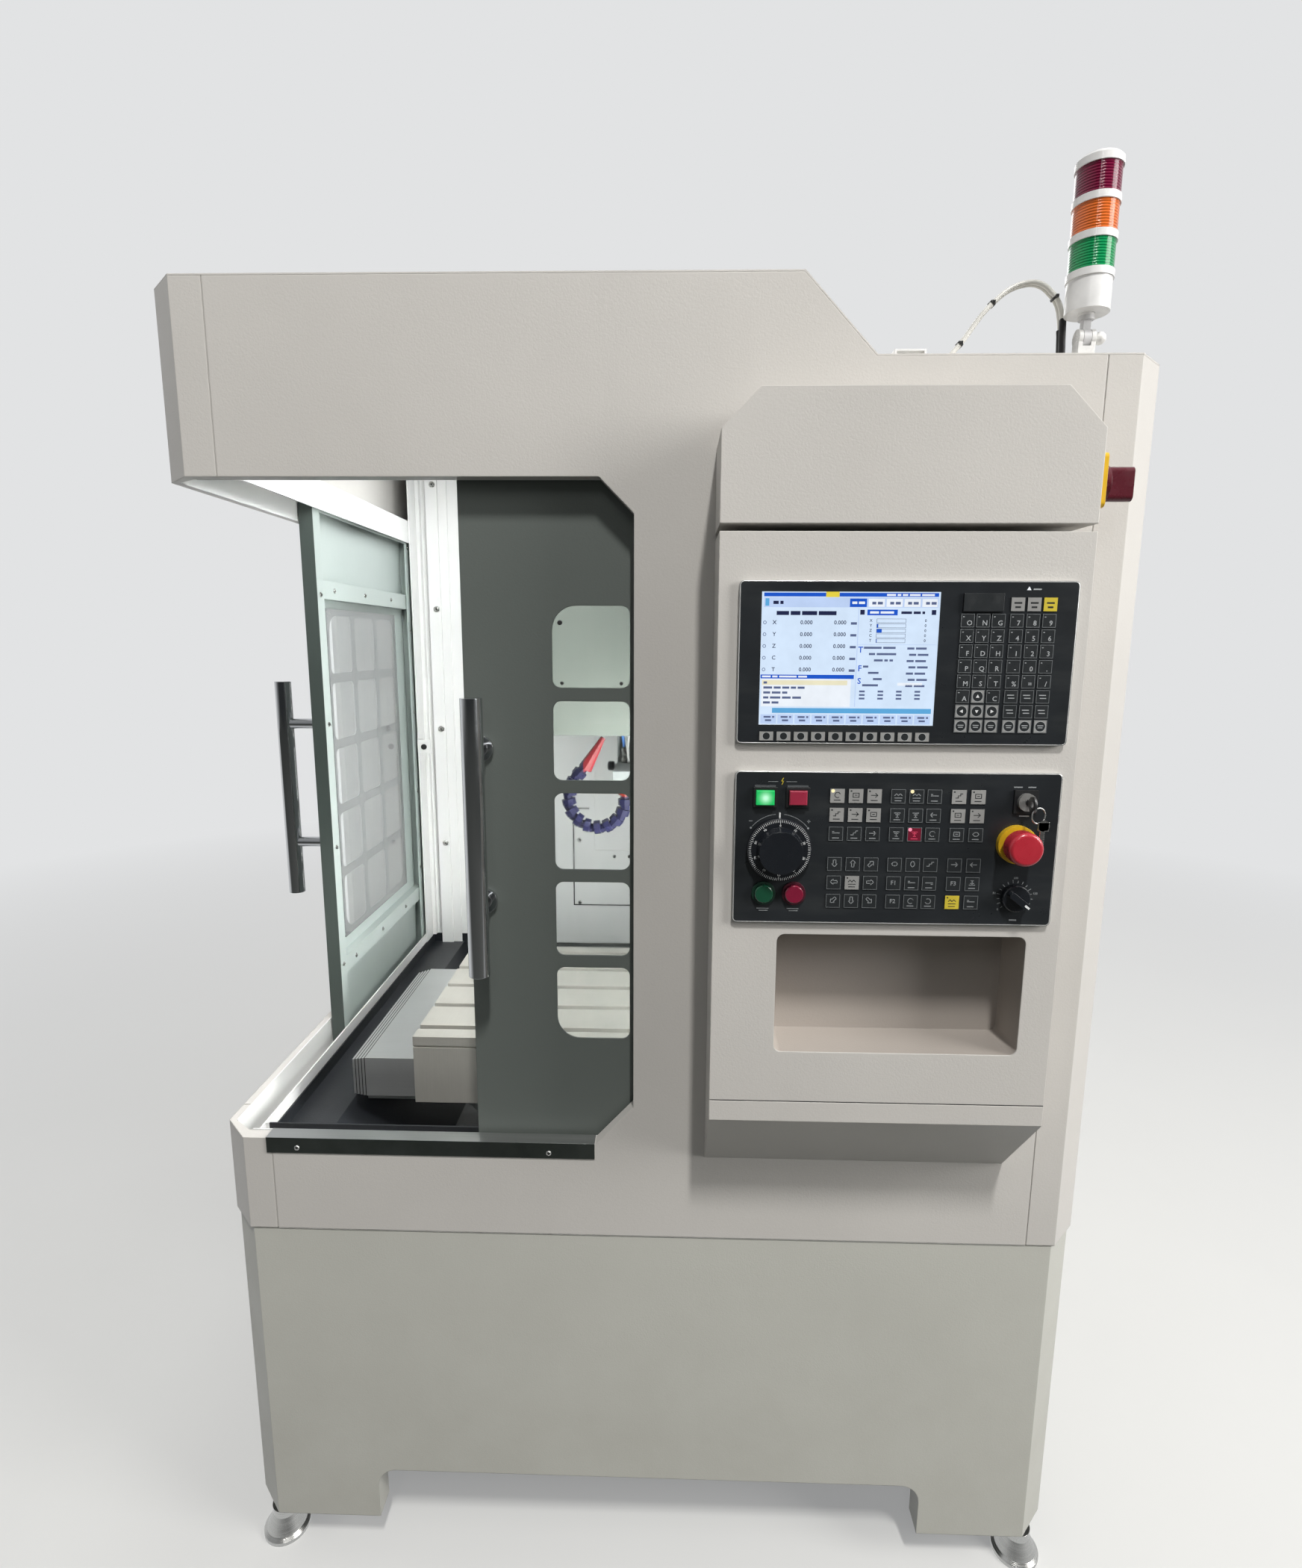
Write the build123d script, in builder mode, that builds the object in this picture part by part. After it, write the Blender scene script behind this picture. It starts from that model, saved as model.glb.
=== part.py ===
from build123d import *
import math
import os

# A CNC tapping center in its full enclosure: three linear axes, a belt of sheet metal round them,
# two sliding doors that open the front left corner, and a control console on the front.
# Machine datum: X = 0 at the middle of the enclosure, Y = 0 on the front panel, Z = 0 on the floor.
# The operator stands at -Y. All sizes are in millimetres.

# Enclosure sizes
half_width = 660
depth = 1500
skin = 2.5
corner_cut = 45
corner_strip = 44
seam_gap = 1.5
roof_high = 1960
roof_low = 1862
roof_slope_from = 191
roof_slope_run = 94
belt_z = 608
front_flange = 22
rear_flange = 20
strip_set_back = 2
side_flange = 11

# Skirt and feet
skirt_inset = 4
skirt_bottom = 74
arch_half = 440
arch_top = 165
arch_radius = 30
arch_flange = 40
foot_in = 40
foot_x = half_width - foot_in
foot_rows = (42, 745, 1405)
foot_section = [
    (0, 0),
    (37, 0),
    (37, 6),
    (32, 11),
    (21, 36),
    (21, 50),
    (10, 50),
    (10, 85),
    (0, 85),
]

# Loading opening round the front left corner
sill_z = 760
lintel_z = 1715
opening_right = -22
opening_top_cut = 46
opening_low_cut_x = 57
opening_low_cut_z = 62
side_opening_end = 540

# Door tracks
track_skin = 2.5
front_track_back = 64
side_track_inner = 612
bottom_track_depth = 70
bottom_track_z = sill_z - bottom_track_depth
top_track_z = 1738
top_track_top = 1790
track_inner_low = 745
front_track_right = 606
side_track_front = 45
side_track_back = 1030
glide_gap = 0.5

# Doors: both are folded sheet pans with a grille of windows
door_depth = 25
door_lip = 30
front_door_width = 610
front_door_left = -262
front_door_face = 30
side_door_length = 540
side_door_front = 395
side_door_face = 644
door_bottom = bottom_track_z + track_skin + glide_gap
door_top = 1765
pane_columns = 3
pane_rows = 5
pane_width = 108
pane_height = 112
pane_pitch_x = 128
pane_pitch_z = 131
pane_low = 916
pane_radius = 12
grille_radius = 34
front_pane_from = 125
glass = 5
glass_margin = 13
bar_height = 34
bar_depth = 18
bar_lows = (842, 1581)

# Tube handles
tube_radius = 15
tube_wall = 2
tube_cap = 3
post_radius = 10
post_base_radius = 18
post_base = 6
front_tube = (1035, 1428)
front_posts = (1130, 1354)
front_handle_inset = 22
front_handle_reach = 50
side_tube = (1007, 1426)
side_posts = (1110, 1345)
side_handle_inset = 53
side_handle_reach = 76

# Sill trim
trim_left = -579
trim_right = -80
trim_leg = 23
trim_thick = 2

# Base casting, guideways and column
base_front = 8
base_back = 1450
base_leg_low = 85
base_leg_half = half_width - skirt_inset - skin
base_arch_half = 450
base_arch_top = 175
base_shoulder_z = 240
base_waist_half = 420
base_waist_z = 420
base_corner = 60
base_top = 560
base_top_half = 380
way_pad_height = 30
way_pad_width = 70
way_pad_front = 100
rail_size = 28
rail_clear = 0.3
block_drop = 7
block_height = 42
block_width = 90
y_rail_x = 150
y_rail_from = 110
y_rail_to = 1040
screw_channel_half = 80
screw_channel_low = 450
column_front = 1064
column_back = 1424
column_base_half = 330
column_foot_z = 640
column_neck_z = 1100
column_half = 210
column_top = 1800
tunnel_half = 215
tunnel_top = 655
z_rail_x = 140
z_rail_from = 880
z_rail_to = 1780
motor_size = 130
motor_length = 170
motor_corner = 12
motor_cap = 10
y_motor_front = 1150
z_motor_y = 1215
z_motor_height = 150

# Saddle and table, Y and X axes
saddle_front = 212
saddle_back = 532
saddle_half = 505
saddle_core_half = 300
saddle_wing_z = 700
saddle_shoulder = 30
x_rail_front = 262
x_rail_back = 462
x_rail_half = 500
x_motor_y = 362
x_motor_z = 750
x_motor_size = 90
x_motor_flange = 12
x_motor_wall_gap = 60
rear_cover_back = 958
rear_cover_half = 200
rear_cover_low = 622
rear_cover_top = 645
table_x = -50
table_length = 700
table_front = 152
table_depth = 420
table_top = 850
table_thick = 45
apron_low = 731
apron_thick = 15
slot_count = 5
slot_first = 36
slot_line = 3
apron_line = 16
slot_pitch = 87
slot_neck = 14
slot_neck_depth = 12
slot_wide = 24
slot_wide_depth = 9
x_block_offset = 90
x_block_length = 95
y_block_length = 95
y_block_pitch = 154
cover_left_end = 514
cover_right_end = 504
cover_inner = 391
cover_step = 6
cover_plates = 5
cover_sheet = 1.5
cover_gap = 4
cover_side_gap = 2
cover_bracket = 4

# Headstock, spindle and motor, Z axis
spindle_y = 562
head_half = 120
head_low = 1310
head_high = 1700
head_front = 480
nose_half = 77
nose_low = 1237
nose_back = 640
head_shoulder = (600, 660)
plate_front = 992
plate_thick = 30
plate_half = 188
plate_low = 1270
plate_high = 1760
snout_radius = 58
snout_low = 1207
spindle_radius = 36
spindle_clear = 0.08
spindle_nose_radius = 44
spindle_nose_length = 12
nose_gap = 0.5
taper_radius = 15.9
taper_small_radius = 8.9
taper_depth = 48.4
drawbar_radius = 6.3
drawbar_depth = 120
z_block_low = 1335
z_block_high = 1640
z_block_length = 95
spindle_motor_size = 170
spindle_motor_height = 215
apron_half = 185
head_apron_low = 957
apron_lap = 35

# Coolant hose on the headstock front: beads of hard plastic pushed together, in a plane of their own
hose_y = 375
hose_start = (-56, 1237)
hose_loop_z = 1215
hose_loop_radius = 52
hose_rise = (-152, 1248)
hose_nozzle = (-130, 1273)
hose_tip = (-96, 1331)
hose_beads = 13
bead_big = 13
bead_small = 8.5
nozzle_tip = 4.5
bead_share = 0.6
bead_overlap = 1.1
manifold_height = 34
manifold_width = 40

# Tool magazine in front of the headstock
magazine_z = 1600
turret_front = 385
turret_back = 445
turret_hub_radius = 62
turret_radius = 180
turret_disc = 12
gripper_count = 16
gripper_width = 26
gripper_from = 165
gripper_reach = 240
gripper_depth = 20
gripper_slot = 14
gripper_slot_depth = 30
shaft_radius = 25
shaft_clear = 0.08
cross_plate_front = 455
cross_plate_thick = 12
magazine_arm_middle = 204
magazine_arm_thick = 12
magazine_arm_low = 1560
magazine_arm_high = 1660
arm_notch = 20
arm_notch_gap = 4
magazine_half = 262
magazine_cover_front = 350
magazine_cover_low = 1337
magazine_cover_high = 1868

# Inner lining and chip tray
liner_inner = 609
liner_back = 985
liner_low = 702
head_slot_half = 172
head_slot_low = 960
liner_side_from = 915
tray_ledge_rise = 10
tray_ledge_z = bottom_track_z + tray_ledge_rise
tray_ledge_inner = 530
tray_floor_half = 390
tray_lip_half = 300
tray_lip_z = 588
tray_front = 66
tray_rim_rise = 24
tray_rim_z = tray_ledge_z + tray_rim_rise
nest_plates = 4
nest_step = 22
nest_drop = 6
nest_half = 250
nest_ridge_z = 650

# Console on the front panel
console_face = -107
console_left = 84.5
console_right = 526
console_top = 1633
console_lip_low = 872
console_seam_z = 900
console_seam_depth = 1.2
console_heel_z = 743
header_low = 1642
header_high = 1794
header_cut = 46
panel_left = 109
panel_width = 400
panel_height = 195
panel_thick = 6
panel_radius = 6
panel_body_margin = 9
panel_body_depth = 40
display_low = 1381
operator_low = 1152
cutout_gap = 1
screen_left = 136
screen_low = 1404.5
screen_width = 211
screen_height = 158.5
screen_recess = 0.8
pocket_left = 167.5
pocket_right = 484.5
pocket_low = 972
pocket_high = 1134.5
pocket_radius = 10
pocket_depth = 72

# Keys
cap_thick = 1
display_key = 15.8
display_key_x = (380, 398.1, 416.2, 437.6, 456.7, 475.5)
display_key_top = 1530
display_key_pitch = 17.93
display_key_rows = 8
function_key_z = 1549
soft_key_first = 145.6
soft_key_pitch = 21
soft_key_count = 10
soft_key_z = 1390.5
soft_key_size = 17
soft_key_height = 11
usb_x = 397
usb_z = 1551
usb_width = 47
usb_height = 21
usb_thick = 3
operator_key = 17.6
operator_key_x = (235.5, 258.3, 281, 310.2, 332.7, 354.6, 384.6, 408)
operator_key_z = (1317, 1293, 1269, 1230, 1206, 1182)

# Buttons, knobs and switches: places are X and Z on the operator panel
push_clear = 0.3
collar_thick = 3
start_place = (147.6, 1191.3)
stop_place = (185.7, 1191.3)
round_radius = 11.5
round_collar_radius = 15
round_proud = 5
power_on_place = (146.4, 1314.5)
power_off_place = (186.7, 1314.5)
square_width = 22
square_height = 18
square_collar_width = 29
square_collar_height = 25
square_proud = 5
estop_place = (458, 1258.4)
estop_stem_radius = 11
estop_ring_radius = 24
estop_ring_thick = 8
estop_cap_radius = 21
estop_cap_front = 35
estop_cap_length = 20
estop_round = 5
estop_stem = 30
knob_shaft_radius = 3
knob_shaft_depth = 20
button_bore_depth = 26
button_length = 18
edge_break = 1
handwheel_place = (165.5, 1248.5)
handwheel_radius = 40
handwheel_disc = 8
handwheel_cap_radius = 29
handwheel_cap = 16
handwheel_taper = 8
override_place = (462.2, 1189.3)
override_radius = 17
override_skirt = 8
override_height = 17
override_grip = 8
override_angle = 38
grip_set_back = 4
key_place = (465.7, 1311.8)
key_barrel_radius = 11
key_barrel_height = 8
key_bezel = 29
key_gap = 0.3
key_thick = 2.4
key_width = 8
key_reach = 14
key_bow_radius = 10
key_bow_hole = 4
knob_gap = 0.4

# Main disconnect switch on the header's right side
switch_y = -70
switch_z = 1692
switch_plate_size = 62
switch_plate_thick = 8
switch_disc_radius = 22
switch_disc_thick = 10
switch_grip_width = 13
switch_grip_reach = 34
switch_shaft_depth = 7

# Tower light
tower_x = 574
tower_y = 75
tower_radius = 27.5
tower_ring_radius = 29
tower_bottom = 1934
tower_base_top = 1982
tower_lens = 35
tower_ring = 9
tower_cap = 13
tower_collar_radius = 10
tower_collar_low = 1926
knuckle_z = 1904
knuckle_radius = 11
knuckle_length = 22
knuckle_foot = 12
knuckle_pin_radius = 3
knuckle_screw = 9
knuckle_ball = 8
knuckle_gap = 0.5
tongue_half = 5
tower_wall = 4
tower_round = 4
bracket_disc_radius = 24
bracket_disc_thick = 6
bracket_post_radius = 9

# Roof cable: two white leads side by side, in the plane Y = cable_y
cable_y = 106
cable_radius = 3.25
cable_gap = 0.5
cable_route = [
    (402, roof_low),
    (402, 1887),
    (424, 1912),
    (450, 1950),
    (484, 1980),
    (522, 1987),
    (550, 1960),
    (556, 1930),
    (558, 1896),
    (558, roof_low),
]
arc_share = 0.45

# Work light, electrical cabinet, coolant tank
lamp_left = -500
lamp_length = 400
lamp_front = 90
lamp_depth = 40
lamp_height = 28
cabinet_half = 480
cabinet_low = 450
cabinet_high = 1750
cabinet_back = 1835
cabinet_door_depth = 22
cabinet_door_gap = 1
hinge_radius = 7
hinge_reach = 8
hinge_back = 3
hinge_leaf = 16
hinge_length = 30
hinge_pin_radius = 3.5
hinge_clear = 0.1
hinge_slack = 0.5
hinge_places = (560, 1040, 1520)
latch_x = 430
latch_z = 1100
latch_radius = 16
latch_thick = 6
latch_arm_thick = 12
latch_arm = 95
latch_arm_width = 18
latch_shaft_radius = 6
latch_shaft = 12
drive_middle_z = 1260
drive_count = 4
drive_width = 110
drive_height = 380
drive_depth = 170
drive_pitch = 180
tank_front = 900
tank_back = 1848
tank_left = -420
tank_low_right = 420
tank_right = 620
tank_low_top = 165
tank_tall_top = 400
pump_x = 558
pump_y = 1690
pump_radius = 55
pump_height = 260
pump_base = 80
pump_flange = 10

# Places worked out from the sizes above
side_handle_x = -(side_door_face + side_handle_reach)
reach_left = side_handle_x - tube_radius
x_motor_length = half_width - x_motor_wall_gap - saddle_half
reach_front = console_face - panel_thick - estop_cap_front
cabinet_door_face = cabinet_back + cabinet_door_gap + cabinet_door_depth
reach_back = cabinet_door_face + latch_thick + latch_arm_thick
datum_x = -(reach_left + half_width) / 2
datum_y = -(reach_front + reach_back) / 2
panel_face = console_face - panel_thick
seam_x = half_width - corner_cut - corner_strip
column_edge = seam_x + seam_gap
side_from = corner_cut + corner_strip
wall_top = roof_high - skin
low_wall_top = roof_low - skin
slope_end = roof_slope_from + roof_slope_run
slope_angle = math.atan2(roof_high - roof_low, roof_slope_run)
slope_shift = skin * math.tan(slope_angle / 2)
way_top = base_top + way_pad_height
saddle_low = way_top + block_height
saddle_top = table_top - table_thick - block_height
rail_slot = rail_size + 2 * rail_clear
table_left = table_x - table_length / 2
table_back = table_front + table_depth
plate_back = plate_front + plate_thick
grille_width = (pane_columns - 1) * pane_pitch_x + pane_width
grille_height = (pane_rows - 1) * pane_pitch_z + pane_height
side_pane_from = (side_door_length - grille_width) / 2
pane_middle_z = pane_low + grille_height / 2
cross_plate_half = magazine_half - skin
panel_middle_x = panel_left + panel_width / 2
display_middle_z = display_low + panel_height / 2
operator_middle_z = operator_low + panel_height / 2
hinge_x = -(cabinet_half + hinge_reach)
hinge_y = cabinet_back + cabinet_door_gap + 2
ball_x = tower_x + knuckle_length / 2 + knuckle_screw
tray_end = [
    (tray_floor_half, base_top),
    (tray_ledge_inner, tray_ledge_z),
    (liner_inner + skin, tray_ledge_z),
    (liner_inner + skin, tray_rim_z),
]

os.makedirs("parts", exist_ok=True)


def floor_plane(z):
    """Sketch X right and Y back, extrude up."""
    return Plane(origin=(datum_x, datum_y, z))


def front_plane(y):
    """Sketch X right and Z up, extrude towards the operator."""
    return Plane(origin=(datum_x, datum_y + y, 0), x_dir=(1, 0, 0), z_dir=(0, -1, 0))


def side_plane(x):
    """Sketch Y back and Z up, extrude to the right."""
    return Plane(origin=(datum_x + x, datum_y, 0), x_dir=(0, 1, 0), z_dir=(1, 0, 0))


def upright(x, y):
    """Sketch the half section of a turned piece whose axis stands at x, y."""
    return Plane(origin=(datum_x + x, datum_y + y, 0), x_dir=(1, 0, 0), z_dir=(0, -1, 0))


def outline(*points, mode=Mode.ADD):
    """A filled polygon in the sketch under way."""
    Polygon(*points, align=None, mode=mode)


def block(low, high, mode=Mode.ADD):
    """A rectangle in the sketch under way, by its corners."""
    with Locations(((low[0] + high[0]) / 2, (low[1] + high[1]) / 2)):
        Rectangle(high[0] - low[0], high[1] - low[1], mode=mode)


def folded(*points, thick=skin, side=Side.LEFT):
    """A folded sheet seen edge on: its line of folds, thickened to one side."""
    with BuildLine(mode=Mode.PRIVATE) as folds:
        Polyline(*points)
        offset(amount=thick, kind=Kind.INTERSECTION, side=side)
    make_face(folds.edges())


def both_sides(points):
    """The right half of an outline, bottom to top, and its mirror image."""
    return points + [(-x, z) for x, z in reversed(points)]


def sheet_pan(plane, points, edge):
    """A panel with its face on the plane and all its edges folded back by a signed distance."""
    with BuildPart() as pan:
        with BuildSketch(plane):
            outline(*points)
        extrude(amount=edge)
        with BuildSketch(plane.offset(math.copysign(skin, edge))):
            outline(*points)
            offset(amount=-skin, kind=Kind.INTERSECTION)
        extrude(amount=edge, mode=Mode.SUBTRACT)
    return pan.part


# Base casting: a bridge on two legs, with the Y guideways and the screw channel on top
with BuildPart() as base_casting:
    with BuildSketch(front_plane(base_front)):
        outline(*both_sides([
            (base_arch_half, base_arch_top),
            (base_arch_half, base_leg_low),
            (base_leg_half, base_leg_low),
            (base_leg_half, base_shoulder_z),
            (base_waist_half, base_waist_z),
            (base_top_half, base_top),
        ]))
    extrude(amount=base_front - base_back)
    with BuildSketch(floor_plane(base_top)):
        for x in (-y_rail_x, y_rail_x):
            block((x - way_pad_width / 2, way_pad_front), (x + way_pad_width / 2, column_front))
    extrude(amount=way_pad_height)
    with BuildSketch(floor_plane(screw_channel_low)):
        block((-screw_channel_half, way_pad_front), (screw_channel_half, base_back))
    extrude(amount=base_top - screw_channel_low, mode=Mode.SUBTRACT)
    with BuildSketch(floor_plane(0)):
        for x in (-1, 1):
            outline(
                (x * half_width, 0),
                (x * (half_width - base_corner), 0),
                (x * half_width, base_corner),
            )
    extrude(amount=base_top, mode=Mode.SUBTRACT)
base_casting.part.label = "base_casting"

# Levelling feet: a cone on a pad, with a threaded stud up to the base
with BuildPart() as levelling_feet:
    for x in (-foot_x, foot_x):
        for y in foot_rows:
            with BuildSketch(upright(x, y)):
                outline(*foot_section)
            revolve(axis=Axis((datum_x + x, datum_y + y, 0), (0, 0, 1)))
levelling_feet.part.label = "levelling_feet"

# Linear rails: one pair on the way pads, one pair up the column
with BuildPart() as linear_rails:
    with BuildSketch(floor_plane(way_top)):
        for x in (-y_rail_x, y_rail_x):
            block((x - rail_size / 2, y_rail_from), (x + rail_size / 2, y_rail_to))
    extrude(amount=rail_size)
    with BuildSketch(front_plane(column_front)):
        for x in (-z_rail_x, z_rail_x):
            block((x - rail_size / 2, z_rail_from), (x + rail_size / 2, z_rail_to))
    extrude(amount=rail_size)
linear_rails.part.label = "linear_rails"

# Column: a tapered portal with a tunnel through its foot
with BuildPart() as column:
    with BuildSketch(front_plane(column_front)):
        outline(*both_sides([
            (tunnel_half, tunnel_top),
            (tunnel_half, base_top),
            (column_base_half, base_top),
            (column_base_half, column_foot_z),
            (column_half, column_neck_z),
            (column_half, column_top),
        ]))
    extrude(amount=column_front - column_back)
column.part.label = "column"

# Axis motors: the Y motor in the screw channel, the Z motor on the column
with BuildPart() as axis_motors:
    with BuildSketch(front_plane(y_motor_front)):
        with Locations((0, screw_channel_low + motor_size / 2)):
            RectangleRounded(motor_size, motor_size, motor_corner)
    extrude(amount=-motor_length)
    with BuildSketch(floor_plane(column_top)):
        with Locations((0, z_motor_y)):
            RectangleRounded(motor_size, motor_size, motor_corner)
    extrude(amount=z_motor_height)
axis_motors.part.label = "axis_motors"

# Magazine frame: two arms out of the column, a cross plate and the turret's shaft
with BuildPart() as magazine_frame:
    with BuildSketch(front_plane(cross_plate_front)):
        block((-cross_plate_half, magazine_arm_low), (cross_plate_half, magazine_arm_high))
    extrude(amount=-cross_plate_thick)
    with BuildSketch(floor_plane(magazine_arm_low)):
        for x in (-magazine_arm_middle, magazine_arm_middle):
            half_arm = magazine_arm_thick / 2
            block((x - half_arm, cross_plate_front), (x + half_arm, column_front))
    extrude(amount=magazine_arm_high - magazine_arm_low)
    with BuildSketch(front_plane(cross_plate_front)):
        with Locations((0, magazine_z)):
            Circle(shaft_radius)
    extrude(amount=cross_plate_front - turret_front)
magazine_frame.part.label = "magazine_frame"

# Magazine cover: a folded sheet in front of the turret, wrapped round its sides and below
with BuildPart() as magazine_cover:
    with BuildSketch(floor_plane(magazine_cover_low)):
        folded(
            (-magazine_half, cross_plate_front + cross_plate_thick),
            (-magazine_half, magazine_cover_front),
            (magazine_half, magazine_cover_front),
            (magazine_half, cross_plate_front + cross_plate_thick),
        )
    extrude(amount=magazine_cover_high - magazine_cover_low)
magazine_cover.part.label = "magazine_cover"

# Chip tray: a folded trough on each side of the saddle, with a front and a back wall
tray_half = liner_inner + skin
with BuildPart() as chip_tray:
    with BuildSketch(front_plane(tray_front)):
        for side, turn in ((-1, Side.LEFT), (1, Side.RIGHT)):
            folded(
                (side * tray_half, tray_rim_z),
                (side * tray_half, tray_ledge_z),
                (side * tray_ledge_inner, tray_ledge_z),
                (side * tray_floor_half, base_top),
                (side * tray_lip_half, base_top),
                (side * tray_lip_half, tray_lip_z),
                side=turn,
            )
    extrude(amount=tray_front - liner_back)
    with BuildSketch(front_plane(tray_front)):
        outline(*both_sides(tray_end))
    extrude(amount=-skin)
    with BuildSketch(front_plane(liner_back)):
        outline(*both_sides(tray_end))
        block((-tray_lip_half, 0), (tray_lip_half, roof_high), mode=Mode.SUBTRACT)
    extrude(amount=skin)
    for step in range(nest_plates):
        nest_top = nest_ridge_z - (nest_plates - step) * nest_drop
        with BuildSketch(front_plane(tray_front + skin + step * nest_step)):
            folded(
                (-nest_half, base_top),
                (-nest_half, nest_top),
                (nest_half, nest_top),
                (nest_half, base_top),
                side=Side.RIGHT,
            )
        extrude(amount=-(nest_plates - step) * nest_step)
chip_tray.part.label = "chip_tray"

# Coolant tank: a low part under the base, a tall part behind it, and the pump on top
with BuildPart() as coolant_tank:
    with BuildSketch(side_plane(tank_left)):
        outline(
            (tank_front, 0),
            (tank_back, 0),
            (tank_back, tank_tall_top),
            (base_back, tank_tall_top),
            (base_back, tank_low_top),
            (tank_front, tank_low_top),
        )
    extrude(amount=tank_low_right - tank_left)
    with BuildSketch(floor_plane(0)):
        block((tank_low_right, base_back), (tank_right, tank_back))
    extrude(amount=tank_tall_top)
    with BuildSketch(upright(pump_x, pump_y)):
        outline(
            (0, tank_tall_top),
            (pump_base, tank_tall_top),
            (pump_base, tank_tall_top + pump_flange),
            (pump_radius, tank_tall_top + pump_flange),
            (pump_radius, tank_tall_top + pump_height - pump_flange),
            (pump_radius - pump_flange, tank_tall_top + pump_height),
            (0, tank_tall_top + pump_height),
        )
    revolve(axis=Axis((datum_x + pump_x, datum_y + pump_y, 0), (0, 0, 1)))
coolant_tank.part.label = "coolant_tank"

# Work light: a slim lamp under the roof, with its ends chamfered
with BuildPart() as work_light:
    with BuildSketch(side_plane(lamp_left)):
        outline(
            (lamp_front, wall_top),
            (lamp_front, wall_top - lamp_height / 2),
            (lamp_front + lamp_height / 2, wall_top - lamp_height),
            (lamp_front + lamp_depth, wall_top - lamp_height),
            (lamp_front + lamp_depth, wall_top),
        )
    extrude(amount=lamp_length)
work_light.part.label = "work_light"

# Inner lining: the back wall with the headstock's slot, a left return and the right wall
roof_line = [
    (liner_inner + 2 * skin, low_wall_top),
    (slope_end - slope_shift, low_wall_top),
    (roof_slope_from - slope_shift, wall_top),
    (-tray_half, wall_top),
]
with BuildPart() as liner:
    with BuildSketch(front_plane(liner_back)):
        outline((-tray_half, liner_low), (liner_inner + 2 * skin, liner_low), *roof_line)
        block((-head_slot_half, head_slot_low), (head_slot_half, roof_high), mode=Mode.SUBTRACT)
        for x in (-magazine_arm_middle, magazine_arm_middle):
            block(
                (x - arm_notch / 2, magazine_arm_low - arm_notch_gap),
                (x + arm_notch / 2, magazine_arm_high + arm_notch_gap),
                mode=Mode.SUBTRACT,
            )
    extrude(amount=-skin)
    with BuildSketch(floor_plane(tray_rim_z)):
        block((-tray_half, liner_side_from), (-liner_inner, liner_back))
    extrude(amount=wall_top - tray_rim_z)
    with BuildSketch(floor_plane(liner_low)):
        block((tray_half, front_flange), (tray_half + skin, liner_back))
    extrude(amount=low_wall_top - liner_low)
liner.part.label = "liner"

# Skirt: one sheet folded round the front corners, with an arch in the front
skirt_half = half_width - skirt_inset
skirt_front = skirt_inset / 2
with BuildPart() as base_skirt:
    with BuildSketch(floor_plane(skirt_bottom)):
        folded(
            (-skirt_half, depth),
            (-skirt_half, corner_cut + skirt_front),
            (-skirt_half + corner_cut, skirt_front),
            (skirt_half - corner_cut, skirt_front),
            (skirt_half, corner_cut + skirt_front),
            (skirt_half, depth),
        )
    extrude(amount=belt_z - seam_gap - skirt_bottom)
    with BuildSketch(front_plane(skirt_front)) as arch_rim:
        block((-arch_half - skin, skirt_bottom), (arch_half + skin, arch_top + skin))
        fillet(arch_rim.vertices().group_by(Axis.Y)[-1], arch_radius + skin)
    extrude(amount=-arch_flange)
    with BuildSketch(front_plane(0)) as arch:
        block((-arch_half, 0), (arch_half, arch_top))
        fillet(arch.vertices().group_by(Axis.Y)[-1], arch_radius)
    extrude(amount=-arch_flange - skirt_inset, mode=Mode.SUBTRACT)
base_skirt.part.label = "base_skirt"

# Front panel: the big folded panel, with the loading opening cut into its left half
front_panel = sheet_pan(
    front_plane(0),
    [
        (-seam_x, belt_z),
        (seam_x, belt_z),
        (seam_x, low_wall_top),
        (slope_end - slope_shift, low_wall_top),
        (roof_slope_from - slope_shift, wall_top),
        (-seam_x, wall_top),
        (-seam_x, lintel_z),
        (opening_right - opening_top_cut, lintel_z),
        (opening_right, lintel_z - opening_top_cut),
        (opening_right, sill_z + opening_low_cut_z),
        (opening_right - opening_low_cut_x, sill_z),
        (-seam_x, sill_z),
    ],
    -front_flange,
)
front_panel.label = "front_panel"

# Corner columns: strips folded round the chamfered corners, the left one above and below the opening
left_strip = [
    (-column_edge, front_flange - strip_set_back),
    (-column_edge, 0),
    (-half_width + corner_cut, 0),
    (-half_width, corner_cut),
    (-half_width, side_from - seam_gap),
    (-half_width + side_flange, side_from - seam_gap),
]
right_strip = [(-x, y) for x, y in left_strip]
strip_core = [
    (-half_width + side_flange, corner_cut),
    (-half_width + corner_cut, front_flange - strip_set_back),
]
with BuildPart() as corner_columns:
    for low, high in ((belt_z, sill_z), (lintel_z, wall_top)):
        with BuildSketch(floor_plane(low)):
            folded(*left_strip, side=Side.RIGHT)
        extrude(amount=high - low)
    for ledge_z in (sill_z - skin, lintel_z):
        with BuildSketch(floor_plane(ledge_z)):
            outline(*left_strip, *strip_core)
        extrude(amount=skin)
    with BuildSketch(floor_plane(belt_z)):
        folded(*right_strip)
    extrude(amount=low_wall_top - belt_z)
corner_columns.part.label = "corner_columns"

# Side panels: the left one leaves the loading opening free
left_side_panel = sheet_pan(
    side_plane(-half_width),
    [
        (side_from, belt_z),
        (depth, belt_z),
        (depth, wall_top),
        (side_from, wall_top),
        (side_from, lintel_z),
        (side_opening_end, lintel_z),
        (side_opening_end, sill_z),
        (side_from, sill_z),
    ],
    side_flange,
)
left_side_panel.label = "left_side_panel"

right_side_panel = sheet_pan(
    side_plane(half_width),
    [(side_from, belt_z), (depth, belt_z), (depth, low_wall_top), (side_from, low_wall_top)],
    -side_flange,
)
right_side_panel.label = "right_side_panel"

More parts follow.
